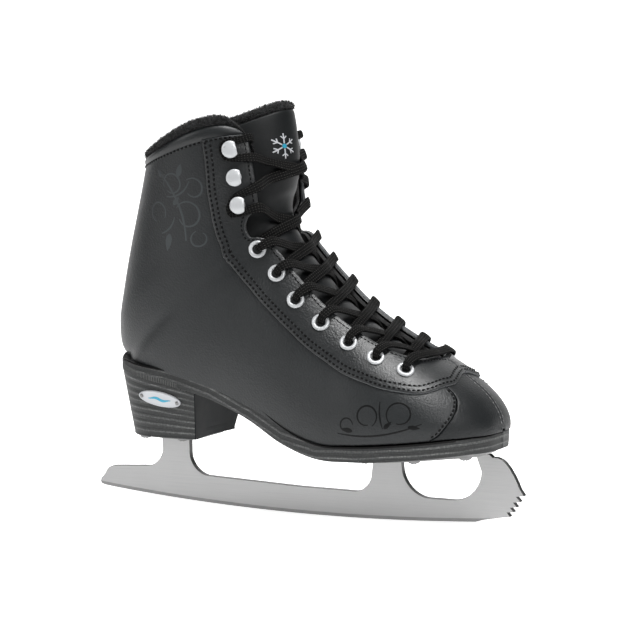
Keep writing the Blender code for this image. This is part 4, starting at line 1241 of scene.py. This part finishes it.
def make_heel():
    """The stacked heel: a groove between each two lifts, a lip round the plate, and ribs at the seat."""
    rings, depth = [], []
    for i in range(HEEL_LIFTS):
        for f, groove in ((0.0, 0.07), (0.08, 0.0), (0.92, 0.0), (1.0, 0.07)):
            share = (i + f) / HEEL_LIFTS
            ring = []
            for x, y in heel_outline(share):
                top = sole_bottom(x) - 0.02
                out = x - HEEL_MIDDLE
                pull = groove / (math.hypot(out, y) or 1.0) if x < HEEL_BREAST_BOTTOM - 1.0 else 0.0
                ring.append(Vector((x - pull * out, y - pull * y, top + (HEEL_BOTTOM - top) * share)))
            depth += [3.0 + share * HEEL_LIFTS * LIFT_DEPTH] * len(ring)
            rings.append(ring)
    bottom = rings[-1]
    for pull, drop in ((0.0, 1.3), (0.25 / 22.0, 1.5), (1.2 / 22.0, 1.5), (1.4 / 22.0, 0.1)):
        rings.append([Vector((x - pull * (x - HEEL_MIDDLE), y - pull * y, z - drop)) for x, y, z in bottom])
        depth += [3.0 + HEEL_LIFTS * LIFT_DEPTH + drop] * len(bottom)
    verts, faces = loft(rings)
    marks = []
    for face in faces:
        middle = sum((verts[i] for i in face), Vector()) / len(face)
        marks.append(1 if middle.x > HEEL_BREAST_BOTTOM - 2.2 + (middle.z - HEEL_BOTTOM) * 0.1 else 0)
    piece("heel_block_skin", verts, faces, ("sole", "breast"), replaces=("heel_block",), slot="heel_block",
          marks=marks, depth=depth, sharp=35)
    ribs = Parts()
    for side, _ in SIDES:
        for x in steps(*HEEL_RIBS):
            top, y = sole_line(x) - 2.0, heel_seat(x)
            corners = ((-0.14, -0.4), (0.14, -0.4), (0.14, 0.15), (-0.14, 0.15))
            ribs.add(*loft([[Vector((x + a, side * (y + b), z)) for a, b in corners]
                            for z in (top, top - 2.4)]))
    ribs.make("heel_seat_ribs", "hatch")


def rocker(x):
    return (x - ROCKER_CENTRE) ** 2 / (2.0 * ROCKER_RADIUS)


def corner(centre, radius, start, end, count):
    return arc(centre, radius, radius, steps(start, end, count))


def blade_outline():
    """The blade from its outer side, from the tail along the top to the toe and back below."""
    heel_top = HEEL_BOTTOM - PLATE_BOTTOM
    under = [(x, sole_bottom(x) - PLATE_BOTTOM) for x in (37.0, 52.1, 91.0, 98.0)]
    return [
        (-113.5, 6.9), (-115.2, 7.5), (-115.9, 8.6), (-115.5, 10.2),
        *corner((-107.5, 11.6), 5.6, 165, 92, 12),
        (-92.0, 18.2), *corner((-89.5, 28.3), 10.0, -83, -8, 14), (-80.0, heel_top), (-64.3, heel_top),
        *corner((-52.2, 27.3), 12.0, 176, 262, 18), (-2.4, 13.5), *corner((26.6, 23.0), 9.8, -84, -14, 14),
        (37.0, 28.0), *under[:2], *corner((68.0, 28.0), 15.6, 185, 262, 18),
        *corner((79.0, 27.5), 15.0, -88, 0, 20), (92.8, 30.5), *under[2:], (99.6, 34.6), (101.5, 34.6),
        (103.0, 34.2), (104.8, 33.4), (106.2, 32.2), (108.4, 29.6), (110.6, 26.2), (112.4, 22.8),
        (113.6, 20.0), (115.9, 16.8), (111.9, 16.3), (114.1, 13.9), (110.4, 13.4), (112.4, 11.2),
        (108.9, 10.8), (110.8, 8.7), (107.2, 8.4), (108.9, 6.3), (104.6, 5.7), (95.5, 4.0),
        *((x, rocker(x)) for x in steps(91.0, -106.5, ROCKER_STEPS)),
    ]


def make_blade():
    points = blade_outline()
    half = BLADE_THICKNESS / 2.0
    verts, faces = loft([[Vector((x, y, z)) for x, z in points] for y in (-half, half)])
    ground = len(points) - ROCKER_STEPS - 1
    # The rim faces round the outline, all but the rocker's, take the near-black steel: painted shade.
    marks = [1 if k < ground else 0 for k in range(len(points))] + [0, 0]
    made = piece("blade_skin", verts, faces, ("blade", "blade_rim_shade"), replaces=("blade",), slot="blade_steel",
                 marks=marks, sharp=30)
    bevel = made.modifiers.new("soft_edges", "BEVEL")
    bevel.width = 0.18 * MM
    bevel.segments = 2
    bevel.limit_method = "ANGLE"
    bevel.angle_limit = math.radians(60.0)


def screw_places():
    """The name, the place and the axis of each screw."""
    places = [("heel", k + 1, x, y, HEEL_BOTTOM, 0.0) for k, (x, y) in enumerate(HEEL_PLATE_SCREWS)]
    for k, (x, y) in enumerate(SOLE_PLATE_SCREWS):
        slope = (sole_bottom(x + 2.0) - sole_bottom(x - 2.0)) / 4.0
        places.append(("sole", k + 1, x, y, sole_bottom(x), slope))
    return [(f"{plate}_screw_{k}_{word}", Vector((x, side * y, z)), Vector((-slope, 0.0, 1.0)).normalized())
            for plate, k, x, y, z, slope in places for side, word in SIDES]


def make_screws():
    """Domed heads with a cross recess, drawn as a dark cross set into each head: painted shade."""
    head = -PLATE_BOTTOM
    dome = arc((0.0, head - 0.2), SCREW_RADIUS, 1.0, range(-75, 1, 15))
    profile = [(0.0, head - 1.2), *dome, (SCREW_RADIUS, head), (1.5, head), (1.5, 3.6), (0.0, 5.0)]
    slots = Parts()
    for name, place, up in screw_places():
        piece(f"{name}_head", *turned(profile, place, up, 28), "steel", replaces=(name,), slot="screw_steel")
        x = up.orthogonal().normalized()
        y = up.cross(x)
        for p, q in ((x, y), (y, x)):
            corners = [p * (1.6 * f) + q * (0.25 * g) for f, g in ((-1, -1), (1, -1), (1, 1), (-1, 1))]
            slots.add(*loft([[place + c + up * z for c in corners] for z in (head - 0.7, head - 1.26)]))
    slots.make("screw_recess_shade", "shaft")


def heel_side(x, z):
    """The outer side of the heel at x and z: its y."""
    top = sole_bottom(x) - GAP
    share = (z - top) / (HEEL_BOTTOM - top)
    return -(HEEL_HALF_TOP + (HEEL_HALF_BOTTOM - HEEL_HALF_TOP) * share)


def make_badge():
    """An oval badge with a raised rim and a plain wavy stripe."""
    x, z = BADGE_CENTRE
    face = Vector(((heel_side(x + 6.0, z) - heel_side(x - 6.0, z)) / 12.0, -1.0,
                   (heel_side(x, z + 6.0) - heel_side(x, z - 6.0)) / 12.0)).normalized()
    across = Vector((math.cos(BADGE_LEAN), 0.0, math.sin(BADGE_LEAN)))
    across = (across - face * across.dot(face)).normalized()
    up = across.cross(face)
    middle = Vector((x, heel_side(x, z), z))

    def place(a, b, h):
        return middle + across * a + up * b + face * h

    def oval(long, tall, h):
        return [place(long * c, tall * s, h) for c, s in circle(64)]

    rim = ((0.0, GAP), (0.0, 0.9), (0.15, 1.2), (0.5, 1.3), (0.8, 1.15), (1.2, 1.1))
    rings = [oval(BADGE_HALF_LONG - inset, BADGE_HALF_TALL - inset, h) for inset, h in rim]
    piece("heel_badge_skin", *loft([*rings, oval(4.0, 1.2, 1.25)]), "badge", replaces=("heel_badge",),
          slot="badge_white", sharp=60)
    stripe = []
    for f in steps(-1.0, 1.0, 30):
        wave = 0.45 * math.sin(f * math.pi * 1.5)
        half = 0.75 * math.cos(f * math.pi / 2.2)
        stripe.append([place(6.3 * f, wave + way * half, h)
                       for way, h in ((1, 1.0), (1, 1.38), (-1, 1.38), (-1, 1.0))])
    piece("heel_badge_stripe", *loft(stripe), "cyan")
    rivet = [(0.0, -2.6), (0.6, -2.6), (0.6, 1.3), (1.0, 1.3), (0.95, 1.6), (0.6, 1.85), (0.0, 1.95)]
    for word, a in zip(("rear", "front"), BADGE_RIVETS):
        piece(f"badge_rivet_{word}_head", *turned(rivet, place(a, 0.0, 0.0), face, 20), "steel",
              replaces=(f"badge_rivet_{word}",), slot="screw_steel")


# --- eyelets and hooks ---


def make_eyelets_and_hooks():
    inner = lining_heights(6.0, 0.9)[0] - 2.0 * GAP
    flange = FACING_SKIN + 0.15
    crown = arc((EYELET_FLANGE - 0.95, flange + 0.25), 0.95, 0.75, (0, 20, 40, 60, 80, 100, 125, 150))
    eyelet = [(EYELET_BORE, inner - 0.5), (3.3, inner - 0.5), (3.3, inner), (EYELET_BARREL, inner),
              (EYELET_BARREL, flange), (EYELET_FLANGE, flange), *crown, (EYELET_BORE + 0.1, flange + 0.25),
              (EYELET_BORE, flange - 0.2)]
    rise = flange + 3.5
    head = arc((0.0, rise + 0.45), HOOK_HEAD, 1.35, (-12, 0, 15, 30, 45, 60, 75))
    hook = [(0.0, inner - 0.7), (3.0, inner - 0.6), (3.0, inner), (HOOK_STEM, inner), (HOOK_STEM, flange),
            (3.2, flange), (3.2, flange + 0.4), (HOOK_STEM, flange + 0.5), (HOOK_STEM, rise),
            (HOOK_HEAD - 0.5, rise), *head, (0.0, rise + 1.8)]
    for side, word in SIDES:
        for k, (t, u) in enumerate(EYELETS):
            here, normal, _ = frame_at(t, u)
            name = f"eyelet_{k + 1}_{word}"
            piece(f"{name}_ring", *turned(eyelet, flip(here, side), flip(normal, side), 40), "enamel",
                  replaces=(name,), slot="eyelet_metal")
        for k, (t, u) in enumerate(HOOKS):
            here, normal, up = frame_at(t, u)
            front = normal.cross(up)
            front = front if front.x > 0 else -front
            name = f"hook_{k + 1}_{word}"
            body = turned(hook, flip(here, side), flip(normal, side), 48,
                          flat=(flip(front, side), 2.9, rise - 0.2))
            piece(f"{name}_head", *body, "enamel", replaces=(name,), slot="hook_metal", sharp=40)


# --- lace ---


def over_tongue(place, t):
    """A place of the lace near slice t, moved out to where it clears the tongue."""
    for _ in range(10):
        k = min(max(place.y / tongue_point(t, 1.0).y, -1.0), 1.0)
        here, normal, up = tongue_frame(t, k)
        t = min(max(t + (place - here).dot(up) / 12.0, TONGUE_START), TONGUE_END)
    return place + normal * max(LACE_CLEAR - (place - here).dot(normal), 0.0)


def lace_strand(start, end, over_first):
    """A taut strand from one row of holes to the other, as (place, width, facing).

    It leaves one facing's front edge, from below or above, and goes up over the other's.
    """
    (t0, s0), (t1, s1) = start, end
    reach = abs(s1 - s0)
    ends = []
    for t, s, inside in ((t0, s0, not over_first), (t1, s1, False)):
        edge = curve(FACING_FRONT, t)
        f = min((edge - min(s, 2.0 - s) + 0.012) / reach, 0.3)
        t_edge = t0 + (t1 - t0) * (f if t == t0 else 1.0 - f)
        s_edge = edge if s < 1.0 else 2.0 - edge
        ends.append(boot_point(t_edge, s_edge, LACE_UNDER if inside else LACE_OVER - 0.7))
    low, high = ends
    out = boot_normal((t0 + t1) / 2.0, 1.0)
    rise = LACE_CROSSING if s0 < s1 else 0.0
    points = []
    for g in (0.0, 0.2, 0.36, 0.5, 0.64, 0.8, 1.0):
        place = low.lerp(high, g) + out * (LACE_BULGE * 4.0 * g * (1.0 - g))
        if 0.0 < g < 1.0:
            place = over_tongue(place, t0 + (t1 - t0) * g)
        place += out * (rise * math.exp(-(((g - 0.5) / 0.2) ** 2)))
        lean = Vector((0.0, 0.4 * (2.0 * g - 1.0), 0.0))
        points.append((place, LACE_WIDTH, (out + lean).normalized()))
    return points


def on_boot(points):
    """(place, width, facing) from (t, s, height, width)."""
    return [(boot_point(t, s, h), width, boot_normal(t, s)) for t, s, h, width in points]


def hook_turn(t, s, outward):
    """Round the back of a hook's stem, from below to above it, as (t, s, height, width)."""
    turn = arc((s, t), outward * 0.03, 0.41, (-70, -35, 0, 35, 70))
    return [(rise, across, FACING_OUTER + GAP + 1.9, 2.6) for across, rise in turn]


def half_lace(side):
    """One half of the lace, from the middle of the lowest bar to its tip, as (place, width, facing)."""

    def here(u):
        return u if side == NEAR else 2.0 - u

    def there(u):
        return 2.0 - u if side == NEAR else u

    t, u = EYELETS[-1]
    points = on_boot([(4.08, here(0.97), 3.0, LACE_WIDTH), (4.14, here(0.86), 3.6, LACE_WIDTH),
                      (t - 0.08, here(0.72), 3.8, LACE_WIDTH)])
    place, other = here, there
    for k in range(len(EYELETS) - 1, -1, -1):
        t, u = EYELETS[k]
        points += on_boot([(t, place(u + 0.02), LACE_OVER + 0.7, 4.2),
                           (t, place(u + 0.004), 2.2, LACE_PINCHED), (t, place(u), -4.9, LACE_PINCHED),
                           (t, place(u + 0.035), LACE_UNDER - 0.3, 3.8)])
        if k:
            t1, u1 = EYELETS[k - 1]
            points += lace_strand((t, place(u)), (t1, other(u1)), False)
            place, other = other, place
    t1, u1 = HOOKS[2]
    points += lace_strand((t, place(u)), (t1 - 0.3, other(u1)), False)
    points += on_boot(hook_turn(t1, other(u1), -1 if other(0.5) < 1 else 1))
    t2, u2 = HOOKS[0]
    points += lace_strand((t1 + 0.3, other(u1)), (t2 - 0.3, place(u2)), True)
    points += on_boot(hook_turn(t2, place(u2), -1 if place(0.5) < 1 else 1))
    edge = curve(FACING_FRONT, 18.2)
    tip = [(18.1, place(0.71), LACE_OVER + 0.2, 3.6), (18.2, place(edge), LACE_OVER - 0.6, 4.0),
           (18.2, place(edge + 0.022), -1.5, 4.0), (18.1, place(edge), LACE_UNDER + 0.4, 4.0)]
    tip += [(t, place(0.71), LACE_UNDER, 4.0) for t in (17.6, 16.9, 16.2, 15.5, 14.8)]
    return points + on_boot(tip)


def through(points, step):
    """Points a step apart on a smooth curve through (place, width, facing) points."""
    fine = []
    for i in range(len(points) - 1):
        p = [points[min(max(i + k, 0), len(points) - 1)] for k in (-1, 0, 1, 2)]
        count = max(1, round((p[2][0] - p[1][0]).length / step))
        for k in range(count):
            f = k / count
            weights = (-0.5 * f + f**2 - 0.5 * f**3, 1 - 2.5 * f**2 + 1.5 * f**3,
                       0.5 * f + 2 * f**2 - 1.5 * f**3, -0.5 * f**2 + 0.5 * f**3)
            place = sum((q[0] * w for q, w in zip(p, weights)), Vector())
            width = p[1][1] + (p[2][1] - p[1][1]) * f
            fine.append((place, width, (p[1][2] * (1 - f) + p[2][2] * f).normalized()))
    return fine + [points[-1]]


def braid_section(width, thickness, ribs=5, count=15):
    """The closed section of a flat braid as (across, up, place across from 0 to 1)."""
    top = []
    for k in range(count + 1):
        f = k / count
        x = 2.0 * f - 1.0
        y = (1.0 - abs(x) ** 3.5) ** 0.5 * (1.0 - 0.14 * (1.0 + math.cos(math.tau * ribs * f)) / 2.0)
        top.append((x * width / 2.0, y * thickness / 2.0, f))
    return top + [(x, -y, f) for x, y, f in reversed(top[1:-1])]


def make_lace():
    near, far = half_lace(NEAR), half_lace(FAR)
    fine = through(near[::-1] + far, 1.3)
    sides, ahead = [], []
    side = None
    for i, (_, _, facing) in enumerate(fine):
        run = (fine[min(i + 1, len(fine) - 1)][0] - fine[max(i - 1, 0)][0]).normalized()
        flat = run.cross(facing)
        flat = flat.normalized() if flat.length > 0.3 or side is None else side
        if side is not None and flat.dot(side) < 0:
            flat.negate()
        side = flat
        sides.append(flat)
        ahead.append(run)
    for _ in range(6):
        sides = [(sides[max(i - 1, 0)] + v + sides[min(i + 1, len(sides) - 1)]).normalized()
                 for i, v in enumerate(sides)]
    rings, uv, gone = [], [], 0.0
    for i, (place, width, _) in enumerate(fine):
        gone += (place - fine[i - 1][0]).length if i else 0.0
        flat = (sides[i] - ahead[i] * sides[i].dot(ahead[i])).normalized()
        thin = flat.cross(ahead[i])
        thick = LACE_THICKNESS * (LACE_WIDTH / width) ** 0.8
        section = braid_section(width, thick)
        rings.append([place + flat * x + thin * y for x, y, _ in section])
        uv += [(gone, f) for _, _, f in section]
    piece("lace_braid", *loft(rings), "lace", replaces=("lace",), slot="lace_braid", uv=uv, sharp=80)


# --- the rest of the model, and the studio ---


def dress_model():
    """Materials for the nodes that stay as they are."""
    stays = {"toe_box": "board", "heel_counter": "board", "insole_board": "board", "footbed": "footbed",
             "shank": "steel", "heel_plate": "steel", "sole_plate": "steel"}
    for name, material in stays.items():
        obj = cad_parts[name]
        for slot in obj.material_slots:
            slot.material = MATERIALS[material]


def backdrop():
    """A pale floor that curves up into a wall behind the skate."""
    s = Shader("backdrop", (0.86, 0.86, 0.86), 0.9, Specular_IOR_Level=0.1)
    s.bsdf.inputs["Emission Color"].default_value = (1.0, 1.0, 1.0, 1.0)
    s.bsdf.inputs["Emission Strength"].default_value = 0.75
    profile = [(-0.45, 0.0), (1.0, 0.0), *arc((1.0, 0.8), 0.8, 0.8, range(-80, 1, 10)), (1.8, 3.5)]
    turn = Vector((math.cos(AZIMUTH), math.sin(AZIMUTH), 0.0))
    deep = Vector((-math.sin(AZIMUTH), math.cos(AZIMUTH), 0.0))
    verts = [turn * x + deep * y + Vector((0.0, 0.0, z - 0.0003)) for y, z in profile for x in (-1.5, 1.5)]
    mesh = bpy.data.meshes.new("floor")
    mesh.from_pydata(verts, [], [[k, k + 1, k + 3, k + 2] for k in range(0, len(verts) - 2, 2)])
    mesh.shade_smooth()
    mesh.materials.append(s.material)
    linked("floor", mesh)


def softbox(name, place, size, power):
    light = bpy.data.lights.new(name, "AREA")
    light.shape = "RECTANGLE"
    light.size, light.size_y = size
    light.energy = power
    obj = linked(name, light)
    obj.location = place
    obj.rotation_euler = (TARGET - Vector(place)).to_track_quat("-Z", "Y").to_euler()


def make_studio():
    backdrop()
    back = Vector((math.sin(AZIMUTH) * math.cos(ELEVATION), -math.cos(AZIMUTH) * math.cos(ELEVATION),
                   math.sin(ELEVATION)))
    data = bpy.data.cameras.new("camera")
    data.lens = LENS
    data.sensor_width = 36.0
    camera = linked("camera", data)
    camera.location = TARGET + back * DISTANCE
    camera.rotation_euler = (-back).to_track_quat("-Z", "Y").to_euler()
    bpy.context.scene.camera = camera
    bpy.context.scene.view_settings.view_transform = "Standard"
    world = bpy.data.worlds.new("studio")
    world.use_nodes = True
    world.node_tree.nodes["Background"].inputs["Color"].default_value = (1.0, 1.0, 1.0, 1.0)
    world.node_tree.nodes["Background"].inputs["Strength"].default_value = 0.16
    bpy.context.scene.world = world
    softbox("top_light", (0.35, -0.15, 1.15), (0.6, 0.5), 16.0)
    softbox("front_light", (1.1, -0.7, 0.75), (0.5, 0.7), 9.0)
    softbox("side_light", (-0.9, -1.2, 0.7), (0.8, 0.9), 7.0)


make_upper()
make_stitching()
make_scrolls()
make_collar()
make_tongue()
make_sole()
make_heel()
make_blade()
make_screws()
make_badge()
make_eyelets_and_hooks()
make_lace()
dress_model()
make_studio()
